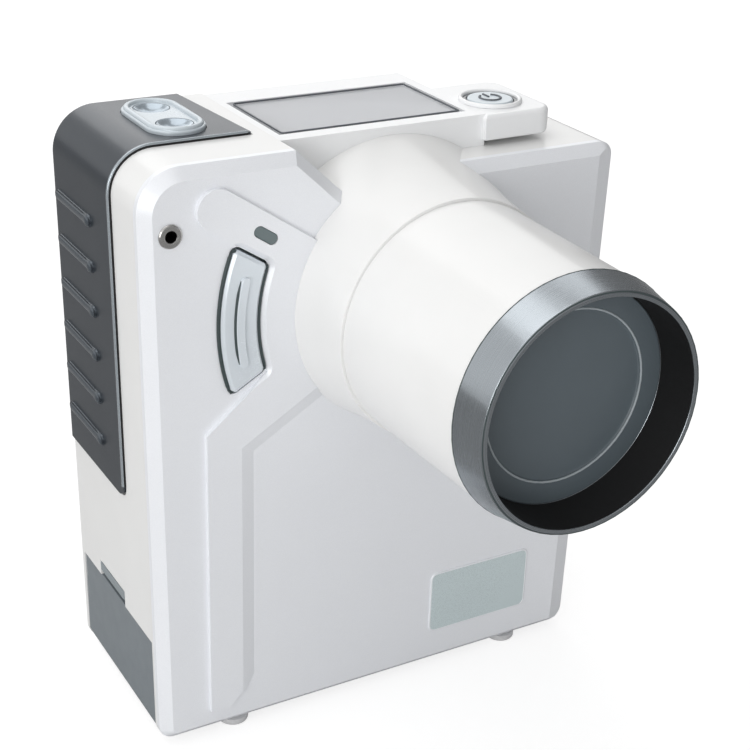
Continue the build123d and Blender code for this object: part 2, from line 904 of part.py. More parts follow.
# Beam cone, its end ring, the dark liner in the ring's mouth and the window
with BuildPart() as tube:
    with BuildSketch(beam_plane):
        with BuildLine():
            Polyline(
                (collar_seam, tube_radius),
                (tube_end, tube_end_radius),
                (tube_end, tube_end_radius - cone_wall),
                (collar_seam, tube_radius - cone_wall),
                close=True,
            )
        make_face()
    revolve(axis=beam_axis)
tube.part.label = "beam_cone"
export_step(tube.part, "parts/beam_cone.step")

liner_wall = 0.8
disc_back = window_face + window_thickness
ring_tail = tube_end + 12.0
ring_tail_radius = tube_end_radius - cone_wall - seat_gap
window_ledge = 2.0
with BuildPart() as ring:
    with BuildSketch(beam_plane):
        with BuildLine():
            Polyline(
                (ring_front, ring_lip_radius),
                (ring_front, ring_front_radius),
                (tube_end, ring_radius),
                (tube_end, ring_tail_radius),
                (ring_tail, ring_tail_radius),
                (ring_tail, window_radius - window_ledge),
                (disc_back, window_radius - window_ledge),
                (disc_back, window_radius),
                (window_face, window_radius),
                (window_face, window_radius + liner_wall),
                (ring_front + ring_round, ring_lip_radius + liner_wall),
                (ring_front + ring_round, ring_lip_radius),
                close=True,
            )
        make_face()
    revolve(axis=beam_axis)
    chamfer(
        ring.edges().filter_by(GeomType.CIRCLE).group_by(Axis.Y)[0].sort_by(SortBy.RADIUS)[-1],
        length=ring_round,
    )
ring.part.label = "cone_end_ring"
export_step(ring.part, "parts/cone_end_ring.step")

with BuildPart() as ring_liner:
    with BuildSketch(beam_plane):
        with BuildLine():
            Polyline(
                (ring_front + ring_round, ring_lip_radius),
                (ring_front + ring_round, ring_lip_radius + liner_wall),
                (window_face, window_radius + liner_wall),
                (window_face, window_radius),
                close=True,
            )
        make_face()
    revolve(axis=beam_axis)
ring_liner.part.label = "ring_liner"
export_step(ring_liner.part, "parts/ring_liner.step")

with BuildPart() as cone_window:
    with BuildSketch(beam_plane):
        with BuildLine():
            Polyline(
                (window_face, window_radius),
                (disc_back, window_radius),
                (disc_back, 0),
                (window_face + window_step, 0),
                (window_face + window_step, window_step_radius - window_step / 2),
                (window_face, window_step_radius),
                close=True,
            )
        make_face()
    revolve(axis=beam_axis)
cone_window.part.label = "cone_window"
export_step(cone_window.part, "parts/cone_window.step")

# Display pod: a block against the slope and the shelf, and a lobe over the shelf
screen_x = screen_left + screen_width / 2
screen_y = screen_front + screen_length / 2
glass_top = pod_top - screen_sink
glass_bottom = glass_top - glass_thickness
display_bottom = glass_bottom - display_thickness
lobe_low = shelf_top + lobe_lift
lobe_centre = ((pod_right + lobe_right) / 2 - lobe_radius, (lobe_front + lobe_back) / 2)
pod_cavity_left = slope_foot + wall
pod_lean = (slope_foot - slope_top) * (column_top - pod_top) / (column_top - shelf_top)
with BuildPart() as pod:
    with BuildSketch(level(lobe_low)):
        with Locations(lobe_centre):
            RectangleRounded(
                lobe_right - pod_right + 2 * lobe_radius, lobe_back - lobe_front, lobe_radius
            )
        with Locations((pod_right - 1.0, lobe_front - 1.0)):
            Rectangle(
                2 * lobe_radius,
                2 * body_depth,
                align=(Align.MAX, Align.CENTER),
                mode=Mode.SUBTRACT,
            )
    extrude(amount=pod_top - lobe_low)
    fillet(pod.faces().sort_by(Axis.Z)[-1].edges(), radius=lobe_round)
    fillet(pod.faces().sort_by(Axis.Z)[0].edges(), radius=lobe_foot_round)
    with BuildSketch(facing(back)):
        with BuildLine():
            Polyline(
                (slope_top + pod_lean, pod_top),
                (slope_foot, shelf_top),
                (pod_right, shelf_top),
                (pod_right, pod_top),
                close=True,
            )
        make_face()
    extrude(amount=back - pod_front)
    # Room for the display and for the power board
    with BuildSketch(level(shelf_top)):
        with BuildLine():
            Polyline(
                (pod_cavity_left, pod_front + pod_wall),
                (pod_right - pod_wall, pod_front + pod_wall),
                (pod_right - pod_wall, back - pod_wall),
                (pod_cavity_left, back - pod_wall),
                close=True,
            )
        make_face()
    extrude(amount=display_bottom - shelf_top, mode=Mode.SUBTRACT)
    with BuildSketch(level(display_bottom)):
        with Locations((screen_x, screen_y)):
            Rectangle(screen_width, screen_length)
    extrude(amount=2 * wall + display_thickness, mode=Mode.SUBTRACT)
    with BuildSketch(level(glass_bottom)):
        with Locations((screen_x, screen_y)):
            Rectangle(screen_width + 2 * screen_ledge, screen_length + 2 * screen_ledge)
    extrude(amount=2 * wall, mode=Mode.SUBTRACT)
    # Well of the power button, open into the pod through a slot for its board
    with BuildSketch(level(lobe_low + pod_wall / 2)):
        with Locations((power_x, power_y)):
            Circle(power_ring_inner)
    extrude(amount=2 * wall + pod_top - lobe_low, mode=Mode.SUBTRACT)
pod.part.label = "display_pod"
export_step(pod.part, "parts/display_pod.step")

with BuildPart() as screen_glass:
    with BuildSketch(level(glass_bottom)):
        with Locations((screen_x, screen_y)):
            Rectangle(
                screen_width + 2 * (screen_ledge - seat_gap),
                screen_length + 2 * (screen_ledge - seat_gap),
            )
    extrude(amount=glass_thickness)
screen_glass.part.label = "screen_glass"
export_step(screen_glass.part, "parts/screen_glass.step")

with BuildPart() as display:
    with BuildSketch(level(display_bottom)):
        with Locations((screen_x, screen_y)):
            Rectangle(screen_width - 2 * seat_gap, screen_length - 2 * seat_gap)
    extrude(amount=display_thickness)
display.part.label = "display_module"
export_step(display.part, "parts/display_module.step")

# Power button: a raised ring, a light guide inside it, the cap, its dome and its board
power_floor = lobe_low + pod_wall / 2
power_board_top = power_floor + 0.8
power_flange_top = pod_top - pod_wall
with BuildPart() as power_ring:
    with BuildSketch(level(pod_top)):
        with Locations((power_x, power_y)):
            Circle(power_ring_outer)
            Circle(power_ring_inner, mode=Mode.SUBTRACT)
    extrude(amount=power_ring_rise)
    chamfer(power_ring.faces().sort_by(Axis.Z)[-1].edges(), length=power_ring_rise / 3)
power_ring.part.label = "power_ring"
export_step(power_ring.part, "parts/power_ring.step")

with BuildPart() as power_light:
    with BuildSketch(level(power_flange_top)):
        with Locations((power_x, power_y)):
            Circle(power_ring_inner)
            Circle(power_light_inner, mode=Mode.SUBTRACT)
    extrude(amount=pod_top - power_flange_top + power_ring_rise / 3)
power_light.part.label = "power_light_guide"
export_step(power_light.part, "parts/power_light_guide.step")

with BuildPart() as power_button:
    with BuildSketch(level(power_flange_top - seat_gap - power_flange)):
        with Locations((power_x, power_y)):
            Circle(power_light_inner + running_gap)
    extrude(amount=power_flange)
    with BuildSketch(level(power_flange_top - seat_gap)):
        with Locations((power_x, power_y)):
            Circle(power_radius)
    extrude(amount=pod_top + power_rise - power_flange_top + seat_gap)
    chamfer(power_button.faces().sort_by(Axis.Z)[-1].edges(), length=power_rise / 2)
power_button.part.label = "power_button"
export_step(power_button.part, "parts/power_button.step")

power_dome_height = power_flange_top - seat_gap - power_flange - power_board_top
with BuildPart() as power_dome:
    with Locations((power_x, power_y, power_board_top)):
        Cone(
            power_radius - 1,
            power_radius / 2,
            power_dome_height,
            align=(Align.CENTER, Align.CENTER, Align.MIN),
        )
power_dome.part.label = "power_dome"
export_step(power_dome.part, "parts/power_dome.step")

with BuildPart() as power_board:
    with BuildSketch(level(power_floor)):
        with Locations((power_x, power_y)):
            Circle(power_ring_inner - seat_gap)
    extrude(amount=power_board_top - power_floor)
power_board.part.label = "power_board"
export_step(power_board.part, "parts/power_board.step")

# Battery door: a panel with a rounded hinge edge, a shelf for the latch spring and side ribs
spring_shelf_low = base + 20.1
spring_shelf_reach = 6.2
latch_stem_x = left + door_thickness + running_gap
latch_stem = 1.6
latch_stem_low = base + 26.1
guide_width = 1.6
guide_height = 13.0
rib_gap = running_gap + guide_width / 2
with BuildPart() as door:
    with BuildSketch(facing(door_back)):
        Polygon(
            (left, hinge_z),
            (hinge_x, hinge_z),
            (hinge_x, hinge_z + hinge_inset),
            (left + door_thickness, hinge_z + hinge_inset),
            (left + door_thickness, door_high),
            (left, door_high),
            align=None,
        )
        with Locations((hinge_x, hinge_z)):
            Circle(hinge_inset)
    extrude(amount=door_back - door_front)
    # Guides and spring shelf for the latch
    with BuildSketch(side(left + door_thickness)):
        with Locations(
            (latch_front - rib_gap, spring_shelf_low),
            (latch_front + latch_width + rib_gap, spring_shelf_low),
        ):
            Rectangle(guide_width, guide_height, align=(Align.CENTER, Align.MIN))
        with Locations((latch_front + latch_width / 2, spring_shelf_low)):
            Rectangle(latch_width + 2 * rib_gap, 1.5, align=(Align.CENTER, Align.MIN))
    extrude(amount=spring_shelf_reach - door_thickness)
    with BuildSketch(facing(door_back)):
        with Locations((hinge_x, hinge_z)):
            Circle(pin_radius + 0.05)
    extrude(amount=door_back - door_front, mode=Mode.SUBTRACT)
door.part.label = "battery_door"
export_step(door.part, "parts/battery_door.step")

# Hinge pin of the door
with BuildPart() as hinge_pin:
    with BuildSketch(facing(window_back + pin_overlap)):
        with Locations((hinge_x, hinge_z)):
            Circle(pin_radius)
    extrude(amount=window_back - window_front + 2 * pin_overlap)
hinge_pin.part.label = "hinge_pin"
export_step(hinge_pin.part, "parts/hinge_pin.step")

# Door latch: a finger tab above the door on a stem that slides behind it
latch_tab_low = door_high + latch_travel + running_gap
latch_middle = latch_front + latch_width / 2
with BuildPart() as latch:
    with BuildSketch(facing(latch_front + latch_width)):
        Polygon(
            (left + 0.4, latch_tab_low),
            (latch_stem_x, latch_tab_low),
            (latch_stem_x, latch_stem_low),
            (latch_stem_x + latch_stem, latch_stem_low),
            (latch_stem_x + latch_stem, latch_high),
            (left + 0.4, latch_high),
            align=None,
        )
    extrude(amount=latch_width)
    fillet(latch.edges().filter_by(Axis.Y).group_by(Axis.X)[0], radius=0.6)
latch.part.label = "battery_latch"
export_step(latch.part, "parts/battery_latch.step")

# Spring between the door's shelf and the latch's stem
latch_spring_radius = 0.65
latch_spring_wire = 0.35
latch_spring_turns = 5
latch_spring_x = latch_stem_x + latch_stem / 2
latch_spring_low = spring_shelf_low + 1.5
latch_spring_length = latch_stem_low - latch_spring_low
with BuildPart() as latch_spring:
    with BuildLine(
        Plane(origin=(latch_spring_x, latch_middle, latch_spring_low + latch_spring_wire / 2))
    ):
        latch_coil = Helix(
            pitch=(latch_spring_length - latch_spring_wire) / latch_spring_turns,
            height=latch_spring_length - latch_spring_wire,
            radius=latch_spring_radius,
        )
    with BuildSketch(Plane(origin=latch_coil @ 0, z_dir=latch_coil % 0)):
        RegularPolygon(latch_spring_wire / 2, 4)
    sweep(is_frenet=True)
latch_spring.part.label = "latch_spring"
export_step(latch_spring.part, "parts/latch_spring.step")

# Battery bay: a box open towards the door, with the pack's three cells on its bed
bay_left = left + 6.6
bay_right = left + 80.0
bay_low = base + wall
bay_high = base + 30.0
with BuildPart() as bay:
    with BuildSketch(facing(rear_face)):
        Polygon(
            (bay_left, bay_low), (bay_right, bay_low), (bay_right, bay_high), (bay_left, bay_high),
            align=None,
        )
    extrude(amount=rear_face - housing_inside)
    with BuildSketch(facing(rear_face - bay_wall)):
        Polygon(
            (bay_left - bay_wall, cell_bed),
            (bay_right - bay_wall, cell_bed),
            (bay_right - bay_wall, bay_high - bay_wall),
            (bay_left - bay_wall, bay_high - bay_wall),
            align=None,
        )
    extrude(amount=rear_face - housing_inside - 2 * bay_wall, mode=Mode.SUBTRACT)
bay.part.label = "battery_bay"
export_step(bay.part, "parts/battery_bay.step")

# Battery pack of three cells in a shrunk sleeve, and the spring contacts behind it
pack_left = bay_left + 0.6
cell_z = cell_bed + cell_radius
cell_y = (housing_inside + rear_face) / 2
contact_depth = bay_right - bay_wall - pack_left - cell_length
with BuildPart() as battery_pack:
    with BuildSketch(side(pack_left)):
        with Locations((cell_y, cell_z)):
            SlotOverall(2 * cell_radius * cell_count - 0.4, 2 * cell_radius)
    extrude(amount=cell_length)
    chamfer(battery_pack.faces().filter_by(Axis.X).edges(), length=1.0)
battery_pack.part.label = "battery_pack"
export_step(battery_pack.part, "parts/battery_pack.step")

with BuildPart() as contacts:
    with BuildSketch(side(pack_left + cell_length)):
        with Locations(*[(cell_y + i * 2 * cell_radius, cell_z) for i in (-1, 1)]):
            RectangleRounded(9.0, 12.0, 1.0)
    extrude(amount=contact_depth)
contacts.part.label = "battery_contacts"
export_step(contacts.part, "parts/battery_contacts.step")

# Rubber feet and the brass tripod insert
with BuildPart() as feet:
    with BuildSketch(level(0)):
        with Locations(
            *[(x, y) for x in (foot_left, foot_right) for y in (front + foot_inset, back - foot_inset)]
        ):
            Circle(foot_radius)
    extrude(amount=foot_height)
    chamfer(feet.faces().filter_by(Axis.Z).group_by(Axis.Z)[0].edges(), length=0.5)
feet.part.label = "feet"
export_step(feet.part, "parts/feet.step")

with BuildPart() as tripod_insert:
    with BuildSketch(level(base)):
        with Locations((tripod_x, tripod_y)):
            Circle(tripod_radius)
    extrude(amount=insert_length)
    with BuildSketch(level(base)):
        with Locations((tripod_x, tripod_y)):
            Circle(thread_radius)
    extrude(amount=thread_length, mode=Mode.SUBTRACT)
tripod_insert.part.label = "tripod_insert"
export_step(tripod_insert.part, "parts/tripod_insert.step")

# Tube head: an oil filled case with its lid, hung on the standoffs behind the cone
head_front = housing_inside + head_standoff
lid_thickness = head_wall
head_lid_front = head_back - lid_thickness
with BuildPart() as head_case:
    with BuildSketch(facing(head_lid_front)):
        with Locations((cone_x, cone_z)):
            RectangleRounded(2 * head_half_width, 2 * head_half_height, boss_radius)
    extrude(amount=head_lid_front - head_front)
    with BuildSketch(facing(head_lid_front)):
        with Locations((cone_x, cone_z)):
            Rectangle(2 * (head_half_width - head_wall), 2 * (head_half_height - head_wall))
    extrude(amount=head_lid_front - head_front - head_wall, mode=Mode.SUBTRACT)
    with BuildSketch(facing(head_front + head_wall)):
        with Locations((cone_x, cone_z)):
            Circle(port_radius)
    extrude(amount=head_wall, mode=Mode.SUBTRACT)
head_case.part.label = "tube_head_case"
export_step(head_case.part, "parts/tube_head_case.step")

with BuildPart() as head_lid:
    with BuildSketch(facing(head_back)):
        with Locations((cone_x, cone_z)):
            RectangleRounded(2 * head_half_width, 2 * head_half_height, boss_radius)
    extrude(amount=lid_thickness)
head_lid.part.label = "tube_head_lid"
export_step(head_lid.part, "parts/tube_head_lid.step")

# Lead liner inside the case, open at the port
liner_front = head_front + head_wall
liner_width = 2 * (head_half_width - head_wall)
liner_height = 2 * (head_half_height - head_wall)
with BuildPart() as lead_liner:
    with BuildSketch(facing(head_lid_front)):
        with Locations((cone_x, cone_z)):
            Rectangle(liner_width, liner_height)
    extrude(amount=head_lid_front - liner_front)
    with BuildSketch(facing(head_lid_front)):
        with Locations((cone_x, cone_z)):
            Rectangle(liner_width - 2 * lead_thickness, liner_height - 2 * lead_thickness)
    extrude(amount=head_lid_front - liner_front - lead_thickness, mode=Mode.SUBTRACT)
    with BuildSketch(facing(liner_front + lead_thickness)):
        with Locations((cone_x, cone_z)):
            Circle(port_radius - head_wall)
    extrude(amount=lead_thickness, mode=Mode.SUBTRACT)
lead_liner.part.label = "lead_liner"
export_step(lead_liner.part, "parts/lead_liner.step")

# X-ray tube across the beam: a glass bulb with an anode and a cathode at its ends
tube_front = cone_x - glass_length / 2
glass_round = 5.0
anode_length = 24.0
anode_radius = 7.0
anode_angle = 20.0
cathode_length = 18.0
cathode_radius = 6.0
tube_axis_plane = Plane(origin=(tube_front, focus_y, cone_z), x_dir=(0, 1, 0), z_dir=(1, 0, 0))
with BuildPart() as xray_tube:
    with BuildSketch(tube_axis_plane):
        Circle(glass_radius)
    extrude(amount=glass_length)
    chamfer(xray_tube.faces().filter_by(Axis.X).edges(), length=glass_round)
    with BuildSketch(tube_axis_plane.offset(glass_wall)):
        Circle(glass_radius - glass_wall)
    bulb_room = extrude(amount=glass_length - 2 * glass_wall, mode=Mode.PRIVATE)
    add(
        bulb_room.chamfer(glass_round - glass_wall / 2, None, bulb_room.edges().filter_by(GeomType.CIRCLE)),
        mode=Mode.SUBTRACT,
    )
xray_tube.part.label = "xray_tube"
export_step(xray_tube.part, "parts/xray_tube.step")

with BuildPart() as anode:
    with BuildSketch(tube_axis_plane.offset(glass_wall)):
        Circle(anode_radius)
    extrude(amount=anode_length)
    target_plane = Plane(
        origin=(cone_x - glass_wall, focus_y, cone_z),
        z_dir=(math.cos(math.radians(anode_angle)), -math.sin(math.radians(anode_angle)), 0),
    )
    split(bisect_by=target_plane, keep=Keep.BOTTOM)
anode.part.label = "anode"
export_step(anode.part, "parts/anode.step")

with BuildPart() as cathode:
    with BuildSketch(tube_axis_plane.offset(glass_length - glass_wall)):
        Circle(cathode_radius)
    extrude(amount=-cathode_length)
    with BuildSketch(tube_axis_plane.offset(glass_length - glass_wall - cathode_length)):
        SlotOverall(cathode_radius, cathode_radius / 3)
    extrude(amount=1.5, mode=Mode.SUBTRACT)
cathode.part.label = "cathode"
export_step(cathode.part, "parts/cathode.step")

# Cradle that holds the glass to the liner, and the transformer behind the tube
cradle_width = 6.0
cradle_reach = 30.0
liner_low = cone_z - liner_height / 2 + lead_thickness
with BuildPart() as cradle:
    for offset_x in (-cradle_reach / 1.5, cradle_reach / 1.5):
        with BuildSketch(side(cone_x + offset_x - cradle_width / 2)):
            with Locations((focus_y, (liner_low + cone_z) / 2)):
                Rectangle(cradle_width * 3, cone_z - liner_low)
            with Locations((focus_y, cone_z)):
                Circle(glass_radius, mode=Mode.SUBTRACT)
        extrude(amount=cradle_width)
    with BuildSketch(level(liner_low)):
        with Locations((cone_x, focus_y)):
            Rectangle(2 * cradle_reach, cradle_width * 3)
    extrude(amount=1.5)
cradle.part.label = "tube_cradle"
export_step(cradle.part, "parts/tube_cradle.step")

# High voltage transformer at the back of the tube head: a laminated core with its winding
core_width = 44.0
core_height = 34.0
core_limb = 9.0
core_front = focus_y + glass_radius + 0.8
core_back = head_lid_front
winding_depth = core_back - core_front
with BuildPart() as transformer_core:
    with BuildSketch(facing(core_back)):
        with Locations((cone_x, cone_z)):
            Rectangle(core_width, core_height)
            for i in (-1, 1):
                with Locations((i * core_limb, 0)):
                    Rectangle(core_limb, core_height - core_limb, mode=Mode.SUBTRACT)
    extrude(amount=winding_depth)
transformer_core.part.label = "transformer_core"
export_step(transformer_core.part, "parts/transformer_core.step")

with BuildPart() as transformer_winding:
    with BuildSketch(facing(core_back)):
        with Locations((cone_x, cone_z)):
            Rectangle(3 * core_limb, core_height - core_limb)
            Rectangle(core_limb, core_height - core_limb, mode=Mode.SUBTRACT)
    extrude(amount=winding_depth)
transformer_winding.part.label = "transformer_winding"
export_step(transformer_winding.part, "parts/transformer_winding.step")

# Voltage multiplier beside the transformer
multiplier_x = cone_x + core_width / 2 + 1.0
multiplier_width = cone_x + liner_width / 2 - lead_thickness - multiplier_x
with BuildPart() as multiplier:
    with BuildSketch(facing(core_back)):
        with Locations((multiplier_x + multiplier_width / 2, cone_z)):
            Rectangle(multiplier_width, core_height)
    extrude(amount=board_thickness)
    with BuildSketch(facing(core_back - board_thickness)):
        with Locations((multiplier_x + multiplier_width / 2, cone_z)):
            with GridLocations(core_limb / 1.5, core_limb, 2, 3):
                Circle(core_limb / 4)
    extrude(amount=board_thickness)
multiplier.part.label = "voltage_multiplier"
export_step(multiplier.part, "parts/voltage_multiplier.step")

# Beam filter in the case's port, and the collimator between the case and the sleeve
filter_thickness = 1.5
with BuildPart() as beam_filter:
    with BuildSketch(facing(head_front + head_wall)):
        with Locations((cone_x, cone_z)):
            Circle(port_radius)
    extrude(amount=filter_thickness)
beam_filter.part.label = "beam_filter"
export_step(beam_filter.part, "parts/beam_filter.step")

collimator_front = head_front - 12.0
collimator_bore = 9.0
collimator_flange = nose_radius - nose_wall - seat_gap
with BuildPart() as collimator:
    with BuildSketch(facing(head_front)):
        with Locations((cone_x, cone_z)):
            Circle(collimator_flange)
    extrude(amount=wall)
    with BuildSketch(facing(head_front)):
        with Locations((cone_x, cone_z)):
            Circle(port_radius)
    extrude(amount=head_front - collimator_front)
    with BuildSketch(facing(head_front)):
        with Locations((cone_x, cone_z)):
            Circle(collimator_bore)
    extrude(amount=head_front - collimator_front, mode=Mode.SUBTRACT)
collimator.part.label = "beam_collimator"
export_step(collimator.part, "parts/beam_collimator.step")

# Main board on standoffs behind the tube head, with its chips and a buzzer
main_board_width = 96.0
main_board_height = 76.0
main_board_front = head_back + 5.0
with BuildPart() as standoffs:
    with BuildSketch(facing(main_board_front)):
        with Locations(*head_places):
            RegularPolygon(boss_radius - 0.6, 6)
    extrude(amount=main_board_front - head_back)
standoffs.part.label = "board_standoffs"
export_step(standoffs.part, "parts/board_standoffs.step")

main_board_back = main_board_front + board_thickness
with BuildPart() as main_board:
    with BuildSketch(facing(main_board_back)):
        with Locations((cone_x - 5.0, cone_z - 10.0)):
            Rectangle(main_board_width, main_board_height)
    extrude(amount=board_thickness)
main_board.part.label = "main_board"
export_step(main_board.part, "parts/main_board.step")

chip_rise = 1.4
with BuildPart() as chips:
    with BuildSketch(facing(main_board_back + chip_rise)):
        with Locations((cone_x - 20.0, cone_z + 8.0)):
            Rectangle(14.0, 14.0)
        with Locations((cone_x + 8.0, cone_z + 10.0), (cone_x + 24.0, cone_z - 22.0)):
            Rectangle(10.0, 6.0)
        with Locations((cone_x - 30.0, cone_z - 30.0)):
            Rectangle(12.0, 9.0)
    extrude(amount=chip_rise)
chips.part.label = "board_chips"
export_step(chips.part, "parts/board_chips.step")

buzzer_radius = 4.5
with BuildPart() as buzzer:
    with BuildSketch(facing(main_board_front)):
        with Locations((cone_x - 20.0, cone_z - 42.0)):
            Circle(buzzer_radius)
            Circle(0.8, mode=Mode.SUBTRACT)
    extrude(amount=buzzer_radius)
buzzer.part.label = "buzzer"
export_step(buzzer.part, "parts/buzzer.step")
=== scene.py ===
"""Looks of a portable dental x-ray unit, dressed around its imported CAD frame.

The frame gives every solid in its place, in metres, with -Y along the beam cone and +Z up. Each
sub-assembly below is a class that takes its solids, softens their edges or models a finer piece in
their place, and dresses them in the finishes of the real object.
"""

from __future__ import annotations

import json
import logging
import math
from dataclasses import dataclass
from enum import Enum
from typing import Iterable, Sequence, Union

import bmesh
import bpy
from mathutils import Matrix, Vector

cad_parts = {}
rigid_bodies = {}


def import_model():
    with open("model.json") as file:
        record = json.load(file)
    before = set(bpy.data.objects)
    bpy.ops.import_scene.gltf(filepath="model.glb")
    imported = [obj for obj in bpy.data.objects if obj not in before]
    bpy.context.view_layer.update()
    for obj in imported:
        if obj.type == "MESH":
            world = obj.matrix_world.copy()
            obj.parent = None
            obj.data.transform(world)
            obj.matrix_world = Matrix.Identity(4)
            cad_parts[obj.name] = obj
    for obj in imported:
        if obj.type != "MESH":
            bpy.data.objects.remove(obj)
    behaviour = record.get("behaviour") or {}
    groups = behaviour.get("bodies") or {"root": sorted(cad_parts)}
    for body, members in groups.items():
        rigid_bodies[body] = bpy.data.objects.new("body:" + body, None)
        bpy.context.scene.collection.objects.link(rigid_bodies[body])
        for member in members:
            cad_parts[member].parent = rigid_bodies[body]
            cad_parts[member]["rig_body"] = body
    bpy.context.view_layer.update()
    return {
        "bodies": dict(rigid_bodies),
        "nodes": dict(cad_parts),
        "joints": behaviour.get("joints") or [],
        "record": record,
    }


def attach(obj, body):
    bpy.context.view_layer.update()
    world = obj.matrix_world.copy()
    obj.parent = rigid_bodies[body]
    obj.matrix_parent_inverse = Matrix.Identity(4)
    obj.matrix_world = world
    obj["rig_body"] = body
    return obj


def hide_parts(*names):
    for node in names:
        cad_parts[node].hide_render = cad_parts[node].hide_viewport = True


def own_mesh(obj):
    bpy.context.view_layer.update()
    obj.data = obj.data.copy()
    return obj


LOG = logging.getLogger("xray_unit")

MM = 0.001
Colour = tuple[float, float, float]
Place = tuple[float, float, float]
CONE_AXIS: Place = (0.0073, 0.0, 0.1431)
JACK_AXIS: Place = (-0.0715, 0.0, 0.1737)


def tone(red: float, green: float, blue: float) -> Colour:
    """Turn a display colour into a linear one.

    Args:
        red: Red from 0 to 255, as seen on a screen.
        green: Green from 0 to 255.
        blue: Blue from 0 to 255.

    Returns:
        The linear colour from 0 to 1.
    """

    def linear(value: float) -> float:
        """Return one channel without its display curve."""
        share = value / 255
        return share / 12.92 if share <= 0.04045 else ((share + 0.055) / 1.055) ** 2.4

    return (linear(red), linear(green), linear(blue))


class Signal:
    """A shader socket that takes part in Python arithmetic."""

    def __init__(self, graph: "Graph", socket: bpy.types.NodeSocket) -> None:
        """Keep the socket and the graph that it belongs to."""
        self.graph = graph
        self.socket = socket

    def _math(self, operation: str, *terms: "Number") -> "Signal":
        """Return the result of one Math node, whose inputs are the terms in order."""
        values = dict(enumerate(terms))
        return self.graph.node("ShaderNodeMath", {"operation": operation}, values)

    def __add__(self, other: "Number") -> "Signal":
        """Return the sum."""
        return self._math("ADD", self, other)

    def __radd__(self, other: "Number") -> "Signal":
        """Return the sum."""
        return self._math("ADD", other, self)

    def __sub__(self, other: "Number") -> "Signal":
        """Return the difference."""
        return self._math("SUBTRACT", self, other)

    def __rsub__(self, other: "Number") -> "Signal":
        """Return the reflected difference."""
        return self._math("SUBTRACT", other, self)

    def __mul__(self, other: "Number") -> "Signal":
        """Return the product."""
        return self._math("MULTIPLY", self, other)

    def __pow__(self, other: "Number") -> "Signal":
        """Return the power."""
        return self._math("POWER", self, other)

    def between(self, low: float, high: float) -> "Signal":
        """Return how far the value lies from low to high, kept within 0 and 1."""
        values = {"Value": self, "From Min": low, "From Max": high}
        return self.graph.node("ShaderNodeMapRange", {"clamp": True}, values)


Number = Union[float, Signal]


class Graph:
    """A node tree, built from Python."""

    def __init__(self, tree: bpy.types.NodeTree) -> None:
        """Keep the tree that the nodes go into."""
        self.tree = tree

    def put(self, node: bpy.types.Node, key: Union[int, str], value: object) -> None:
        """Set or link one input of a node.

        Args:
            node: The node.
            key: The input's index or name.
            value: A signal to link, or a plain value.
        """
        if isinstance(value, Signal):
            self.tree.links.new(value.socket, node.inputs[key])
        elif isinstance(value, tuple) and len(value) == 3 and node.inputs[key].type == "RGBA":
            node.inputs[key].default_value = (*value, 1.0)
        else:
            node.inputs[key].default_value = value

    def node(
        self,
        kind: str,
        settings: dict | None = None,
        values: dict | None = None,
        out: Union[int, str] = 0,
    ) -> Signal:
        """Make a node of any kind.

        Args:
            kind: The node's type.
            settings: Its properties.
            values: Its inputs by index or name, as signals or plain values.
            out: The index or name of the output to return.

        Returns:
            That output as a signal.
        """
        node = self.tree.nodes.new(kind)
        for key, value in (settings or {}).items():
            setattr(node, key, value)
        for key, value in (values or {}).items():
            self.put(node, key, value)
        return Signal(self, node.outputs[out])

    def split(self, vector: Signal) -> tuple[Signal, Signal, Signal]:
        """Return the three parts of a vector."""
        first = self.node("ShaderNodeSeparateXYZ", values={0: vector})
        outputs = first.socket.node.outputs
        return tuple(Signal(self, outputs[i]) for i in range(3))

    def join(self, x: Number, y: Number, z: Number) -> Signal:
        """Return a vector from its three parts."""
        return self.node("ShaderNodeCombineXYZ", values={0: x, 1: y, 2: z})

    def blend(self, share: Number, first: object, second: object) -> Signal:
        """Return a colour between two others, the first one where the share is 0."""
        settings = {"data_type": "RGBA", "clamp_factor": True}
        return self.node("ShaderNodeMix", settings, {0: share, 6: first, 7: second}, out=2)


class Surface(Graph):
    """The node tree of one material with a bare Principled shader."""

    def __init__(self, name: str) -> None:
        """Make a material of that name."""
        self.material = bpy.data.materials.new(name)
        self.material.use_nodes = True
        super().__init__(self.material.node_tree)
        self.tree.nodes.clear()
        output = self.tree.nodes.new("ShaderNodeOutputMaterial")
        self.shader = self.tree.nodes.new("ShaderNodeBsdfPrincipled")
        self.tree.links.new(self.shader.outputs["BSDF"], output.inputs["Surface"])

    def place(self) -> Signal:
        """Return the object coordinates, in metres."""
        return self.node("ShaderNodeTexCoord", out="Object")

    def noise(self, size: float, detail: float = 2.0, vector: Signal | None = None) -> Signal:
        """Return noise from 0 to 1 with lumps of a size in metres, read at the vector."""
        values = {"Vector": vector or self.place(), "Scale": 1 / size, "Detail": detail}
        return self.node("ShaderNodeTexNoise", values=values)

    def bump(self, height: Signal, depth: float) -> Signal:
        """Return a normal tilted by a height from 0 to 1, where 1 measures the depth in metres."""
        values = {"Height": height, "Distance": depth, "Strength": 1.0}
        return self.node("ShaderNodeBump", values=values)

    def dress(self, **values: object) -> bpy.types.Material:
        """Set the shader's inputs, with underscores for spaces, and return the material."""
        for key, value in values.items():
            self.put(self.shader, key.replace("_", " "), value)
        return self.material


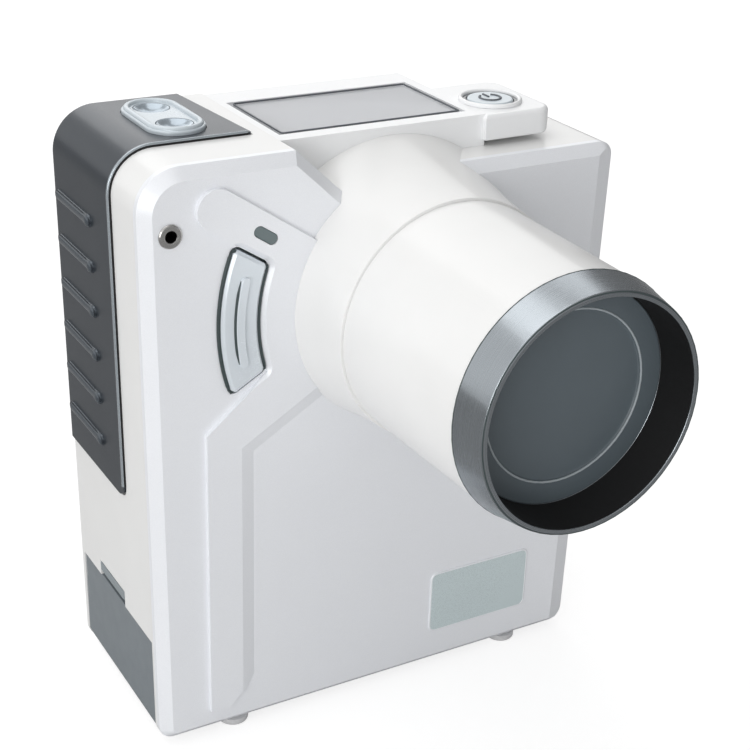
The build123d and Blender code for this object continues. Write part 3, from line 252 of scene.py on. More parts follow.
@dataclass(frozen=True)
class Moulded:
    """Moulded plastic or rubber with a fine spark texture and slight handling marks.

    Attributes:
        name: Name of the material.
        colour: Its linear colour.
        roughness: Its mean roughness.
        grain: Size of the texture's lumps in metres.
        depth: Height of the texture in metres.
        mottle: Share by which the colour varies over the surface.
        smear: How far the roughness varies where hands have been.
        coat: Weight of a clear coat.
    """

    name: str
    colour: Colour
    roughness: float
    grain: float = 0.35 * MM
    depth: float = 0.006 * MM
    mottle: float = 0.03
    smear: float = 0.08
    coat: float = 0.0

    def material(self) -> bpy.types.Material:
        """Return the material."""
        graph = Surface(self.name)
        broad = graph.noise(26 * MM, 3.0)
        streak = graph.noise(7 * MM, 4.0)
        fine = graph.noise(self.grain, 2.0)
        dark = tuple(c * (1 - self.mottle) for c in self.colour)
        light = tuple(min(1.0, c * (1 + self.mottle * 0.6)) for c in self.colour)
        base = graph.blend(broad.between(0.3, 0.7), dark, light)
        rough = self.roughness + (streak.between(0.35, 0.7) - 0.5) * self.smear
        return graph.dress(
            Base_Color=base,
            Roughness=rough,
            Coat_Weight=self.coat,
            Coat_Roughness=0.12,
            Normal=graph.bump(fine, self.depth),
        )


@dataclass(frozen=True)
class FlakePaint:
    """Silver paint with fine metal flakes under a satin lacquer.

    Attributes:
        name: Name of the material.
        colour: Its linear colour.
        roughness: Its mean roughness.
        metallic: How metallic it looks.
        flake: Size of the flakes in metres.
        sparkle: Share by which the flakes differ in brightness.
    """

    name: str
    colour: Colour
    roughness: float = 0.38
    metallic: float = 0.45
    flake: float = 0.12 * MM
    sparkle: float = 0.12

    def material(self) -> bpy.types.Material:
        """Return the material."""
        graph = Surface(self.name)
        values = {"Vector": graph.place(), "Scale": 1 / self.flake}
        cell = graph.node("ShaderNodeTexVoronoi", {"feature": "F1"}, values, out="Color")
        glint = graph.split(cell)[0]
        cloud = graph.noise(30 * MM, 3.0)
        low = tuple(c * (1 - self.sparkle) for c in self.colour)
        high = tuple(min(1.0, c * (1 + self.sparkle)) for c in self.colour)
        base = graph.blend(glint * 0.7 + cloud * 0.3, low, high)
        rough = self.roughness + (glint - 0.5) * 0.08 + (cloud - 0.5) * 0.1
        orange_peel = graph.noise(1.6 * MM, 1.0)
        return graph.dress(
            Base_Color=base,
            Metallic=self.metallic,
            Roughness=rough,
            Coat_Weight=0.25,
            Coat_Roughness=0.18,
            Normal=graph.bump(orange_peel, 0.006 * MM),
        )


@dataclass(frozen=True)
class TurnedMetal:
    """Metal turned on a lathe, with fine lines round its axis.

    Attributes:
        name: Name of the material.
        colour: Its linear colour.
        roughness: Its mean roughness.
        line: Spacing of the tool's lines in metres.
        axis: Index of the axis that the piece was turned about.
        centre: A point on that axis.
    """

    name: str
    colour: Colour
    roughness: float
    line: float = 0.18 * MM
    axis: int = 1
    centre: Place = (0.0, 0.0, 0.0)

    def material(self) -> bpy.types.Material:
        """Return the material."""
        graph = Surface(self.name)
        settings = {"operation": "SUBTRACT"}
        local = graph.node("ShaderNodeVectorMath", settings, {0: graph.place(), 1: self.centre})
        parts = list(graph.split(local))
        along = parts.pop(self.axis)
        reach = (parts[0] * parts[0] + parts[1] * parts[1]) ** 0.5
        lines = graph.noise(self.line, 2.0, graph.join(along, reach, 0.0))
        cloud = graph.noise(9 * MM, 3.0)
        low = tuple(c * 0.88 for c in self.colour)
        high = tuple(min(1.0, c * 1.1) for c in self.colour)
        base = graph.blend(lines * 0.6 + cloud * 0.4, low, high)
        return graph.dress(
            Base_Color=base,
            Metallic=1.0,
            Roughness=self.roughness + (lines - 0.5) * 0.14,
            Normal=graph.bump(lines, 0.002 * MM),
        )


@dataclass(frozen=True)
class Wrapped:
    """Insulated board, winding or wrap: two tones in fine bands.

    Attributes:
        name: Name of the material.
        colour: Its main linear colour.
        second: The colour of its bands.
        pitch: Spacing of the bands in metres.
        roughness: Its roughness.
        metallic: How metallic it is.
    """

    name: str
    colour: Colour
    second: Colour
    pitch: float
    roughness: float = 0.45
    metallic: float = 0.0

    def material(self) -> bpy.types.Material:
        """Return the material."""
        graph = Surface(self.name)
        settings = {"wave_type": "BANDS", "bands_direction": "Z"}
        values = {"Vector": graph.place(), "Scale": 0.314 / self.pitch, "Distortion": 0.6}
        wave = graph.node("ShaderNodeTexWave", settings, values, out="Fac")
        base = graph.blend(wave.between(0.35, 0.65), self.colour, self.second)
        rough = self.roughness + (graph.noise(4 * MM) - 0.5) * 0.15
        return graph.dress(
            Base_Color=base,
            Metallic=self.metallic,
            Roughness=rough,
            Normal=graph.bump(wave, 0.02 * MM),
        )


@dataclass(frozen=True)
class Clear:
    """Clear glass or plastic with faint cleaning marks.

    Attributes:
        name: Name of the material.
        colour: Its linear tint.
        alpha: How much of it covers what is behind.
        roughness: Its roughness.
    """

    name: str
    colour: Colour
    alpha: float
    roughness: float = 0.06

    def material(self) -> bpy.types.Material:
        """Return the material."""
        graph = Surface(self.name)
        marks = graph.noise(14 * MM, 4.0)
        rough = self.roughness + marks.between(0.45, 0.75) * 0.06
        material = graph.dress(Base_Color=self.colour, Roughness=rough, Alpha=self.alpha)
        material.blend_method = "BLEND"
        return material


class Paint(Enum):
    """The finishes of the object, each one a material made once."""

    SHELL = Moulded(
        "shell_white_finish", tone(238, 238, 237), 0.3, mottle=0.015, smear=0.02, coat=0.25
    )
    # A brighter copy of the shell's white: painted light that makes up for the shade on the pod's
    # front.
    POD = Moulded("pod_lit_white_finish", tone(246, 247, 248), 0.34, mottle=0.015, smear=0.02, coat=0.2)
    SILVER = FlakePaint("panel_silver_finish", tone(244, 246, 250), metallic=0.15, sparkle=0.04)
    PLATE = FlakePaint("plate_satin_finish", tone(206, 219, 221), 0.3, metallic=0.1, sparkle=0.03)
    TRIGGER = FlakePaint(
        "trigger_silver_finish", tone(226, 233, 239), 0.24, metallic=0.2, sparkle=0.02
    )
    GRIP = FlakePaint("grip_slate_finish", tone(60, 66, 73), 0.34, metallic=0.45, sparkle=0.04)
    # A lighter, glossier copy of the grip's slate: painted light along the ribs.
    RIB = FlakePaint("grip_rib_lit_finish", tone(84, 91, 98), 0.2, metallic=0.45, sparkle=0.02)
    # A darker, more metallic copy of the key plate's finish: painted shade in the dished keys, with
    # more metal so that reflections shade them too.
    CAP = FlakePaint("thumb_cap_shaded_finish", tone(176, 187, 196), 0.2, metallic=0.65, sparkle=0.02)
    # Light grey on the dark grip's front edge: a painted highlight along that edge.
    BEAD = FlakePaint("grip_edge_highlight_finish", tone(176, 184, 190), 0.2, metallic=0.6, sparkle=0.02)
    # Lighter than the slate window: a painted highlight on the edge of its step.
    STEP = Moulded("window_step_highlight_finish", tone(168, 176, 180), 0.3)
    # A lighter copy of the door's grey: painted light on the latch and its pad.
    LATCH = Moulded("latch_lit_finish", tone(140, 148, 152), 0.36, depth=0.01 * MM)
    DOOR = Moulded("door_grey_finish", tone(122, 129, 134), 0.36, depth=0.01 * MM)
    # Dark grey-green for real joints round the end ring, and for painted shade in and round the
    # trigger's recess.
    GAP = Moulded("gap_and_shade_finish", tone(58, 70, 71), 0.5)
    BLACK = Moulded("liner_black_finish", tone(9, 9, 11), 0.75, grain=0.6 * MM, depth=0.02 * MM)
    SLATE = Moulded("window_slate_finish", tone(94, 104, 110), 0.4, mottle=0.05)
    KEY = FlakePaint("thumb_key_finish", tone(206, 215, 221), 0.32, metallic=0.15, sparkle=0.02)
    FOOT = Moulded("foot_rubber_finish", tone(205, 205, 206), 0.7, depth=0.02 * MM)
    LENS = Moulded("indicator_lens_finish", tone(96, 110, 112), 0.12, coat=0.6)
    SCREEN = Clear("screen_glass_finish", tone(240, 242, 246), 0.5, roughness=0.12)
    DISPLAY = Moulded("display_panel_finish", tone(250, 251, 254), 0.4)
    GUIDE = Moulded("light_guide_finish", tone(66, 70, 76), 0.2, coat=0.5)
    # Dark grey for the printed power sign, and for painted shade in the line round the screen.
    MARK = Moulded("marking_and_shade_finish", tone(96, 100, 106), 0.5)
    RING = TurnedMetal("ring_metal_finish", tone(172, 178, 183), 0.26, centre=CONE_AXIS)
    NICKEL = TurnedMetal("nickel_sleeve_finish", tone(205, 204, 202), 0.2, centre=JACK_AXIS)
    STEEL = TurnedMetal("steel_finish", tone(172, 172, 175), 0.3)
    BRASS = TurnedMetal("brass_finish", tone(196, 170, 110), 0.3)
    ALUMINIUM = TurnedMetal("aluminium_finish", tone(200, 202, 205), 0.38)
    LEAD = TurnedMetal("lead_finish", tone(98, 100, 106), 0.6)
    COPPER = Wrapped("copper_finish", tone(184, 110, 70), tone(140, 76, 44), 0.4 * MM, metallic=0.8)
    CORE = Wrapped("core_plates_finish", tone(84, 84, 88), tone(50, 50, 54), 0.5 * MM, metallic=0.6)
    BOARD = Wrapped("board_green_finish", tone(24, 92, 60), tone(32, 108, 72), 3 * MM, 0.35)
    WRAP = Moulded("battery_wrap_finish", tone(46, 74, 130), 0.3)
    SILICONE = Moulded("silicone_finish", tone(206, 206, 200), 0.55)
    BULB = Clear("tube_glass_finish", tone(214, 222, 222), 0.3)

    def material(self) -> bpy.types.Material:
        """Return the finish's material, made at its first use."""
        return bpy.data.materials.get(self.value.name) or self.value.material()


@dataclass(frozen=True)
class Rounding:
    """A CAD node that is replaced by a copy of it with rounded edges.

    Attributes:
        node: The node's name.
        paint: Its finish.
        width: Width of the rounding in metres.
        angle: The least angle in degrees that counts as sharp.
    """

    node: str
    paint: Paint
    width: float
    angle: float = 25.0


@dataclass(frozen=True)
class Spring:
    """A spring or dome that is pressed shorter as a joint moves.

    Attributes:
        node: The node's name.
        paint: Its finish.
        joint: The joint that presses it; not used.
        travel: The joint's travel in metres.
        axis: Index of the axis along which it shortens.
        far_end: Whether its resting end is the one with the higher coordinate; not used.
    """

    node: str
    paint: Paint
    joint: str
    travel: float
    axis: int = 2
    far_end: bool = False


@dataclass
class Workshop:
    """Takes CAD solids and new meshes, finishes them and hands them to the frame.

    Attributes:
    """

    frame: dict

    def dress(self, node: str, paint: Paint) -> bpy.types.Object:
        """Give a CAD node a better material.

        Args:
            node: The node's name.
            paint: Its finish.

        Returns:
            The node's object.
        """
        piece = self.frame["nodes"][node]
        piece.data.materials.clear()
        piece.data.materials.append(paint.material())
        LOG.info("dressed %s", node)
        return piece

    def box(self, node: str) -> tuple[Vector, Vector]:
        """Return the lowest and highest corner of a CAD node's box."""
        piece = self.frame["nodes"][node]
        places = [piece.matrix_world @ vertex.co for vertex in piece.data.vertices]
        low = Vector([min(place[i] for place in places) for i in range(3)])
        high = Vector([max(place[i] for place in places) for i in range(3)])
        return low, high

    def press(self, spring: Spring) -> None:
        """Dress a spring or dome and give it a mesh of its own; how far its joint would shorten it
        is worked out but not used.

        Args:
            spring: The spring.
        """
        piece = self.dress(spring.node, spring.paint)
        low, high = self.box(spring.node)
        direction = tuple(float(i == spring.axis) for i in range(3))
        keep = 1 - spring.travel / (high[spring.axis] - low[spring.axis])
        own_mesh(piece)

    def copy(self, node: str) -> bmesh.types.BMesh:
        """Return a node's solid as a mesh of large flat faces, ready to be bevelled.

        Args:
            node: The node's name.

        Returns:
            The merged mesh.
        """
        mesh = bmesh.new()
        mesh.from_mesh(self.frame["nodes"][node].data)
        bmesh.ops.remove_doubles(mesh, verts=mesh.verts, dist=0.0005 * MM)
        bmesh.ops.dissolve_limit(
            mesh, angle_limit=math.radians(0.5), verts=mesh.verts, edges=mesh.edges
        )
        bmesh.ops.recalc_face_normals(mesh, faces=mesh.faces)
        return mesh

    def soften(self, mesh: bmesh.types.BMesh, width: float, angle: float) -> None:
        """Round the sharp edges of a mesh.

        Args:
            mesh: The mesh.
            width: Width of the rounding in metres.
            angle: The least angle in degrees that counts as sharp.
        """
        least = math.radians(angle)
        sharp = [e for e in mesh.edges if len(e.link_faces) == 2 and e.calc_face_angle() > least]
        bmesh.ops.bevel(
            mesh,
            geom=sharp,
            offset=width,
            offset_type="OFFSET",
            segments=3,
            profile=0.5,
            affect="EDGES",
            clamp_overlap=True,
            material=-1,
        )

    def finish(
        self,
        mesh: bmesh.types.BMesh,
        name: str,
        paint: Paint,
        node: str,
        replaces: bool = False,
        crease: float = 40.0,
    ) -> None:
        """Make an object of a mesh and hand it to the frame with a CAD node's body.

        Args:
            mesh: The mesh, which is freed.
            name: Name of the piece.
            paint: Its finish.
            node: The CAD node that it replaces or lies on.
            replaces: Whether it takes that node's place.
            crease: The angle in degrees above which an edge is shaded sharp.
        """
        data = bpy.data.meshes.new(name)
        mesh.to_mesh(data)
        mesh.free()
        data.shade_smooth()
        data.set_sharp_from_angle(angle=math.radians(crease))
        data.materials.append(paint.material())
        piece = bpy.data.objects.new(name, data)
        bpy.context.scene.collection.objects.link(piece)
        weighted = piece.modifiers.new("weighted", "WEIGHTED_NORMAL")
        weighted.keep_sharp = True
        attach(piece, self.frame["nodes"][node]["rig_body"])
        if replaces:
            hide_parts(node)
        LOG.info("made %s with %d faces", name, len(data.polygons))

    def turn(self, profile: Iterable[tuple[float, float]], x: float, y: float) -> bmesh.types.BMesh:
        """Turn a profile, from axis to axis, round an upright axis.

        Args:
            profile: Radius and height of each corner, in metres.
            x: The axis's place along X.
            y: The axis's place along Y.

        Returns:
            The turned mesh.
        """
        mesh = bmesh.new()
        verts = [mesh.verts.new((x + radius, y, height)) for radius, height in profile]
        edges = [mesh.edges.new(pair) for pair in zip(verts, verts[1:])]
        bmesh.ops.spin(
            mesh,
            geom=verts + edges,
            cent=(x, y, 0.0),
            axis=(0, 0, 1),
            angle=2 * math.pi,
            steps=72,
            use_merge=True,
        )
        bmesh.ops.remove_doubles(mesh, verts=mesh.verts, dist=0.001 * MM)
        bmesh.ops.recalc_face_normals(mesh, faces=mesh.faces)
        return mesh

    def tube(
        self,
        points: Sequence[Vector],
        radii: Sequence[float],
        closed: bool = False,
        sides: int = 10,
    ) -> bmesh.types.BMesh:
        """Sweep a round section along a line.

        Args:
            points: The line's points, in metres.
            radii: The section's radius at each point.
            closed: Whether the last point joins the first.
            sides: Number of faces round the section.

        Returns:
            The swept mesh.
        """
        mesh = bmesh.new()
        last = len(points) - 1
        side = Vector((0.37, 0.61, 0.53))
        rings = []
        for i, (point, radius) in enumerate(zip(points, radii)):
            before = points[i - 1] if i or closed else point
            after = points[(i + 1) % (last + 1)] if i < last or closed else point
            along = (after - before).normalized()
            side = (side - along * side.dot(along)).normalized()
            up = along.cross(side)
            turns = [2 * math.pi * k / sides for k in range(sides)]
            ring = [point + radius * (math.cos(a) * side + math.sin(a) * up) for a in turns]
            rings.append([mesh.verts.new(place) for place in ring])
        pairs = list(zip(rings, rings[1:]))
        if closed:
            lag = min(range(sides), key=lambda k: (rings[0][k].co - rings[-1][0].co).length)
            pairs.append((rings[-1], rings[0][lag:] + rings[0][:lag]))
        else:
            mesh.faces.new(rings[0])
            mesh.faces.new(rings[-1])
        for first, second in pairs:
            for k in range(sides):
                m = (k + 1) % sides
                mesh.faces.new((first[k], first[m], second[m], second[k]))
        bmesh.ops.recalc_face_normals(mesh, faces=mesh.faces)
        return mesh

    def line(
        self,
        name: str,
        points: Sequence[Vector],
        radius: float,
        paint: Paint,
        node: str,
        closed: bool = False,
    ) -> None:
        """Lay a thin even cord, such as a bead, a seam, a printed line, or a line of painted shade
        or highlight, on a CAD node.

        Args:
            name: Name of the piece.
            points: The line's points, in metres.
            radius: Its radius in metres.
            paint: Its finish.
            node: The node that carries it.
            closed: Whether the last point joins the first.
        """
        self.finish(self.tube(points, [radius] * len(points), closed), name, paint, node)


def arc(
    x: float, z: float, radius: float, first: float, last: float, y: float, steps: int = 12
) -> list[Vector]:
    """Return points along an arc in an upright plane that faces the beam's way.

    Args:
        x: The centre's place along X, in metres.
        z: The centre's height.
        radius: The arc's radius.
        first: The angle at its start, in degrees from +X towards +Z.
        last: The angle at its end.
        y: The plane's place.
        steps: Number of steps along it.

    Returns:
        The points.
    """
    angles = [math.radians(first + (last - first) * i / steps) for i in range(steps + 1)]
    return [Vector((x + radius * math.cos(a), y, z + radius * math.sin(a))) for a in angles]


def rounded_loop(corners: Sequence[Vector], radius: float, steps: int = 6) -> list[Vector]:
    """Return a closed line through corners, each one rounded.

    Args:
        corners: The corners, in metres.
        radius: Where the rounding starts before and ends after each corner.
        steps: Number of steps round each corner.

    Returns:
        The line's points.
    """
    points = []
    for i, corner in enumerate(corners):
        start = corner + (corners[i - 1] - corner).normalized() * radius
        end = corner + (corners[(i + 1) % len(corners)] - corner).normalized() * radius
        for k in range(steps + 1):
            t = k / steps
            points.append(start * (1 - t) ** 2 + corner * 2 * t * (1 - t) + end * t**2)
    return points


Roundings = tuple[Rounding, ...]
Springs = tuple[Spring, ...]
Plain = tuple[tuple[str, Paint], ...]


@dataclass
class Assembly:
    """A sub-assembly of the unit. Sizes are in metres unless a comment says otherwise.

    Attributes:
        shop: Where its pieces are made.
        roundings: Its nodes that get rounded edges.
        springs: Its springs and domes.
        plain: Its other nodes with their finishes.
    """

    shop: Workshop
    roundings: Roundings = ()
    springs: Springs = ()
    plain: Plain = ()

    def details(self) -> None:
        """Make the pieces that need more than the tables, none here."""

    def build(self) -> None:
        """Make and dress every piece of the sub-assembly."""
        for rounding in self.roundings:
            mesh = self.shop.copy(rounding.node)
            self.shop.soften(mesh, rounding.width, rounding.angle)
            name = f"{rounding.node}_skin"
            self.shop.finish(mesh, name, rounding.paint, rounding.node, replaces=True)
        self.details()
        for spring in self.springs:
            self.shop.press(spring)
        for node, paint in self.plain:
            self.shop.dress(node, paint)


@dataclass
class Body(Assembly):
    """The white tub, its silver front panel, rear cover, name plate, feet and insert."""

    roundings: Roundings = (
        Rounding("main_housing", Paint.SHELL, 0.5 * MM, 30),
        Rounding("front_panel", Paint.SILVER, 0.45 * MM, 12),
        Rounding("rear_cover", Paint.SHELL, 0.4 * MM, 30),
        Rounding("name_plate", Paint.PLATE, 0.2 * MM),
        Rounding("feet", Paint.FOOT, 0.4 * MM),
        Rounding("case_screws", Paint.STEEL, 0.15 * MM),
    )
    plain: Plain = (("tripod_insert", Paint.BRASS),)
    rim_radius: float = 0.35 * MM
    rim_corner: float = 2.4 * MM
    rim_sink: float = 0.3 * MM
    screws: tuple[tuple[float, float], ...] = (  # along X and Z, in millimetres
        (-69.6, 158.2),
        (-69.6, 52.2),
        (10.9, 11.2),
        (69.8, 11.2),
        (73.2, 172.8),
        (-36.1, 177.8),
    )
    cross_half: float = 1.5 * MM
    cross_radius: float = 0.4 * MM
    cross_sink: float = 0.25 * MM

    def details(self) -> None:
        """Lay the bead round the name plate, and in each screw's head a black cross, painted shade
        standing for its cross recess.
        """
        low, high = self.shop.box("name_plate")
        corners = [(low.x, low.z), (high.x, low.z), (high.x, high.z), (low.x, high.z)]
        rim = [Vector((x, low.y + self.rim_sink, z)) for x, z in corners]
        rim = rounded_loop(rim, self.rim_corner)
        self.shop.line("plate_rim", rim, self.rim_radius, Paint.SILVER, "name_plate", closed=True)
        outer = self.shop.box("case_screws")[1].y - self.cross_sink
        level = Vector((self.cross_half, 0, 0))
        upright = Vector((0, 0, self.cross_half))
        for i, (x, z) in enumerate(self.screws):
            middle = Vector((x * MM, outer, z * MM))
            for way, step in (("level", level), ("upright", upright)):
                name = f"screw_{i}_{way}"
                slot = [middle - step, middle + step]
                # A black cord for each arm of the cross: painted shade where the cross recess lies.
                self.shop.line(name, slot, self.cross_radius, Paint.BLACK, "case_screws")


@dataclass
class Grip(Assembly):
    """The dark shoulder grip with its ribs, a painted highlight cord along its front edge, and its
    seam.
    """

    roundings: Roundings = (Rounding("grip", Paint.GRIP, 0.6 * MM, 30),)
    proud: float = 0.8 * MM
    side: float = -78.1 * MM
    base: float = 2.2 * MM
    lean: float = 2.0 / 190.1  # outwards for each metre of height
    shoulder: float = 13.0 * MM
    straight: float = 30 * MM
    corner: float = 4.0 * MM
    tip: float = 1.0 * MM
    cord: float = 0.5 * MM
    nudge: float = 0.1 * MM
    highlight_back: float = 0.2 * MM
    rib_count: int = 6
    rib_low: float = 94.3 * MM
    rib_pitch: float = 14.5 * MM
    rib_ends: tuple[float, float] = (49.7 * MM, 79.2 * MM)
    rib_radii: tuple[float, float] = (2.3 * MM, 1.75 * MM)  # at the full end, then beyond it
    rib_flat: float = 0.7

    def surface(self, height: float) -> float:
        """Return where the housing's leaning left side lies at a height."""
        return self.side - self.lean * (height - self.base)

    def front_edge(self, rise: float, ahead: float) -> list[Vector]:
        """Return the line along the grip's front edge, from its tip down to its low corner.

        Args:
            rise: How far the line stands off the housing.
            ahead: How far it lies before the grip's front face.

        Returns:
            The line's points.
        """
        low, high = self.shop.box("grip")
        top = high.z - self.proud
        middle = top - self.shoulder
        centre = self.surface(middle) + self.shoulder
        y = low.y - ahead
        points = [Vector((high.x - self.tip, y, top + rise))]
        points += arc(centre, middle, self.shoulder + rise, 90, 180, y)
        run = (middle - self.straight, low.z + self.corner)
        return points + [Vector((self.surface(z) - rise, y, z)) for z in run]

    def rib(self, height: float) -> bmesh.types.BMesh:
        """Return the mesh of one rib, a drop that is fullest at its front end.

        Args:
            height: The rib's height in metres.

        Returns:
            The mesh, pressed flat towards the pad.
        """
        front, back = self.rib_ends
        full, even = self.rib_radii
        length = back - front
        skin = self.surface(height) - self.proud
        steps = 32
        points = []
        radii = []
        for k in range(steps + 1):
            t = (1 - math.cos(math.pi * k / steps)) / 2
            body = even + (full - even) * max(0.0, 1 - t * 6)
            from_end = min(t * length, (1 - t) * length) / body
            points.append(Vector((skin, front + length * t, height)))
            radii.append(body * math.sqrt(max(0.001, 1 - max(0.0, 1 - from_end) ** 2)))
        mesh = self.shop.tube(points, radii, sides=24)
        for vertex in mesh.verts:
            vertex.co.x = skin + (vertex.co.x - skin) * self.rib_flat
        return mesh

    def details(self) -> None:
        """Make the ribs, the seam and the painted highlight along the front edge."""
        for i in range(self.rib_count):
            mesh = self.rib(self.rib_low + i * self.rib_pitch)
            # The ribs wear the lighter copy of the grip's slate, painted light along them.
            self.shop.finish(mesh, f"grip_rib_{i}", Paint.RIB, "grip")
        seam = self.front_edge(self.nudge, self.nudge)
        self.shop.line("grip_seam", seam, self.cord, Paint.BLACK, "grip")
        # A light cord along the front edge, just off the pad: the edge's painted highlight.
        bead = self.front_edge(self.proud - self.nudge, -self.highlight_back)
        self.shop.line("grip_edge_highlight", bead, self.cord, Paint.BEAD, "grip")


@dataclass
class ThumbKeys(Assembly):
    """The two dished thumb keys in their plate, with their domes and board."""

    roundings: Roundings = (Rounding("thumb_key_plate", Paint.KEY, 0.45 * MM),)
    springs: Springs = (
        Spring("key_dome_front", Paint.SILICONE, "front_thumb_key_slide", 0.8 * MM),
        Spring("key_dome_rear", Paint.SILICONE, "rear_thumb_key_slide", 0.8 * MM),
    )
    plain: Plain = (("key_board", Paint.BOARD),)
    rim_inset: float = 1.5 * MM
    rim_radius: float = 1.0 * MM
    foot: float = 1.0 * MM
    drop: float = 0.35 * MM
    dish: float = 2.2 * MM
    bevel: float = 0.1 * MM

    def cap(self, key: str) -> None:
        """Make one key with its dish.

        Args:
            key: The key's node.
        """
        low, high = self.shop.box(key)
        reach = (high.x - low.x) / 2
        radius = reach - self.foot
        rim = high.z - self.drop
        foot = low.z + self.foot
        shares = (0, 0.2, 0.4, 0.6, 0.8, 0.97)
        hollow = [(radius * t, rim - self.dish * (1 - t**2)) for t in shares]
        shaft = [(radius, rim - self.bevel), (radius, foot)]
        base = [(reach, foot), (reach, low.z), (0, low.z)]
        profile = hollow + shaft + base
        mesh = self.shop.turn(profile, (low.x + high.x) / 2, (low.y + high.y) / 2)
        # The keys wear the darker copy of the plate's finish, painted shade in their dishes.
        self.shop.finish(mesh, f"{key}_skin", Paint.CAP, key, replaces=True, crease=50.0)

    def details(self) -> None:
        """Make the keys and the rim round the plate."""
        self.cap("thumb_key_front")
        self.cap("thumb_key_rear")
        low, high = self.shop.box("thumb_key_plate")
        x = (low.x + high.x) / 2
        reach = (high.x - low.x) / 2 - self.rim_inset
        ends = ((high.y - self.rim_inset - reach, 0), (low.y + self.rim_inset + reach, 180))
        rim = []
        for y, start in ends:
            turns = [math.radians(start + 180 * i / 16) for i in range(17)]
            rim += [
                Vector((x + reach * math.cos(a), y + reach * math.sin(a), high.z)) for a in turns
            ]
        node = "thumb_key_plate"
        self.shop.line("thumb_key_rim", rim, self.rim_radius, Paint.KEY, node, closed=True)


@dataclass
class Trigger(Assembly):
    """The curved exposure trigger, its frame, spring and board."""

    roundings: Roundings = (
        Rounding("exposure_trigger", Paint.TRIGGER, 0.25 * MM, 30),
        # The bezel wears the dark gap colour: painted shade on the floor of the recess round the
        # key.
        Rounding("trigger_bezel", Paint.GAP, 0.15 * MM),
    )
    springs: Springs = (
        Spring("trigger_spring", Paint.STEEL, "trigger_slide", 1.8 * MM, axis=1, far_end=True),
    )
    plain: Plain = (("trigger_board", Paint.BOARD),)
    middle: float = 178.5  # like the other angles here, in degrees round the cone's axis
    radii: tuple[float, float] = (64.4 * MM, 52.6 * MM)
    spreads: tuple[float, float] = (20.75, 18.3)
    trim: float = 1.1
    face_depth: float = 1.0 * MM
    # The dark cord round the key: its gap, widened to paint the shade on the key's side wall.
    gap_shade_depth: float = 1.3 * MM
    gap_shade_reach: float = 0.4 * MM
    seam_radius: float = 0.6 * MM
    rib_radius: float = 58.6 * MM
    rib_half: float = 1.35 * MM
    rib_spread: float = 12.5
    # Painted shade along the outer and inner side of the rib: name, side and radius.
    rib_shade_lines: tuple[tuple[str, int, float], ...] = (
        ("outer", 1, 0.55 * MM),
        ("inner", -1, 0.28 * MM),
    )

    def outline(self, y: float) -> list[Vector]:
        """Return a closed line round the trigger in the plane at y, wider by the reach of the dark
        gap and its painted shade.
        """
        x, _, z = CONE_AXIS
        points = []
        for radius, spread, way in zip(self.radii, self.spreads, (1, -1)):
            reach = radius + self.gap_shade_reach * way
            turn = spread + math.degrees(self.gap_shade_reach / radius) - self.trim
            points += arc(x, z, reach, self.middle - turn * way, self.middle + turn * way, y, 20)
        return points

    def details(self) -> None:
        """Lay the dark gap round the trigger, widened into painted shade on the key's side wall,
        and lines of painted shade, thin at their ends, along both sides of its rib.
        """
        face = self.shop.box("exposure_trigger")[0].y + self.face_depth
        seam = self.outline(face + self.gap_shade_depth)
        node = "trigger_bezel"
        # A dark cord round the key: the gap, widened into painted shade on the key's side wall.
        self.shop.line("trigger_gap_shade", seam, self.seam_radius, Paint.GAP, node, closed=True)
        x, _, z = CONE_AXIS
        steps = 24
        first, last = self.middle - self.rib_spread, self.middle + self.rib_spread
        # Dark lines of painted shade along both sides of the rib, thin at their ends.
        for name, way, radius in self.rib_shade_lines:
            reach = self.rib_radius + way * self.rib_half
            crease = arc(x, z, reach, first, last, face, steps)
            radii = [radius * min(1.0, 0.3 + min(i, steps - i) / 5) for i in range(steps + 1)]
            mesh = self.shop.tube(crease, radii)
            self.shop.finish(mesh, f"trigger_rib_shade_{name}", Paint.GAP, "exposure_trigger")


@dataclass
class Fittings(Assembly):
    """The remote jack and the indicator in the panel."""

    roundings: Roundings = (
        Rounding("remote_jack", Paint.NICKEL, 0.12 * MM),
        Rounding("indicator_window", Paint.LENS, 0.3 * MM),
    )
    plain: Plain = (
        ("jack_block", Paint.BLACK),
        ("indicator_lamp", Paint.KEY),
    )


@dataclass
class Cone(Assembly):
    """The collar, the beam cone, its end ring, the liner and the window."""

    roundings: Roundings = (
        Rounding("cone_collar", Paint.SHELL, 0.35 * MM, 30),
        Rounding("beam_cone", Paint.SHELL, 0.3 * MM),
        Rounding("cone_end_ring", Paint.RING, 0.5 * MM),
        Rounding("ring_liner", Paint.BLACK, 0.1 * MM),
        Rounding("cone_window", Paint.SLATE, 0.3 * MM),
    )
    seam_sink: float = 0.15 * MM
    seam_radius: float = 0.25 * MM
    lip_reach: float = 34.4 * MM
    lip_depth: float = 0.3 * MM
    lip_radius: float = 0.22 * MM
    step_reach: float = 25.2 * MM
    step_depth: float = 0.1 * MM
    step_radius: float = 0.32 * MM

    def details(self) -> None:
        """Lay two dark lines round the end ring and a light line of painted highlight on the
        window's step.
        """
        low, high = self.shop.box("cone_end_ring")
        reach = (high.x - low.x) / 2 - self.seam_sink
        joint = self.shop.box("beam_cone")[0].y
        lip = low.y + self.lip_depth
        face = self.shop.box("cone_window")[0].y + self.step_depth
        lines = (
            ("ring_seam", reach, joint, self.seam_radius, Paint.GAP, "cone_end_ring"),
            ("ring_lip_line", self.lip_reach, lip, self.lip_radius, Paint.GAP, "cone_end_ring"),
            # A light cord on the window's step: its painted highlight.
            ("window_step_highlight", self.step_reach, face, self.step_radius, Paint.STEP, "cone_window"),
        )
        x, _, z = CONE_AXIS
        for name, reach, y, radius, paint, node in lines:
            circle = arc(x, z, reach, 0, 354, y, 59)
            self.shop.line(name, circle, radius, paint, node, closed=True)


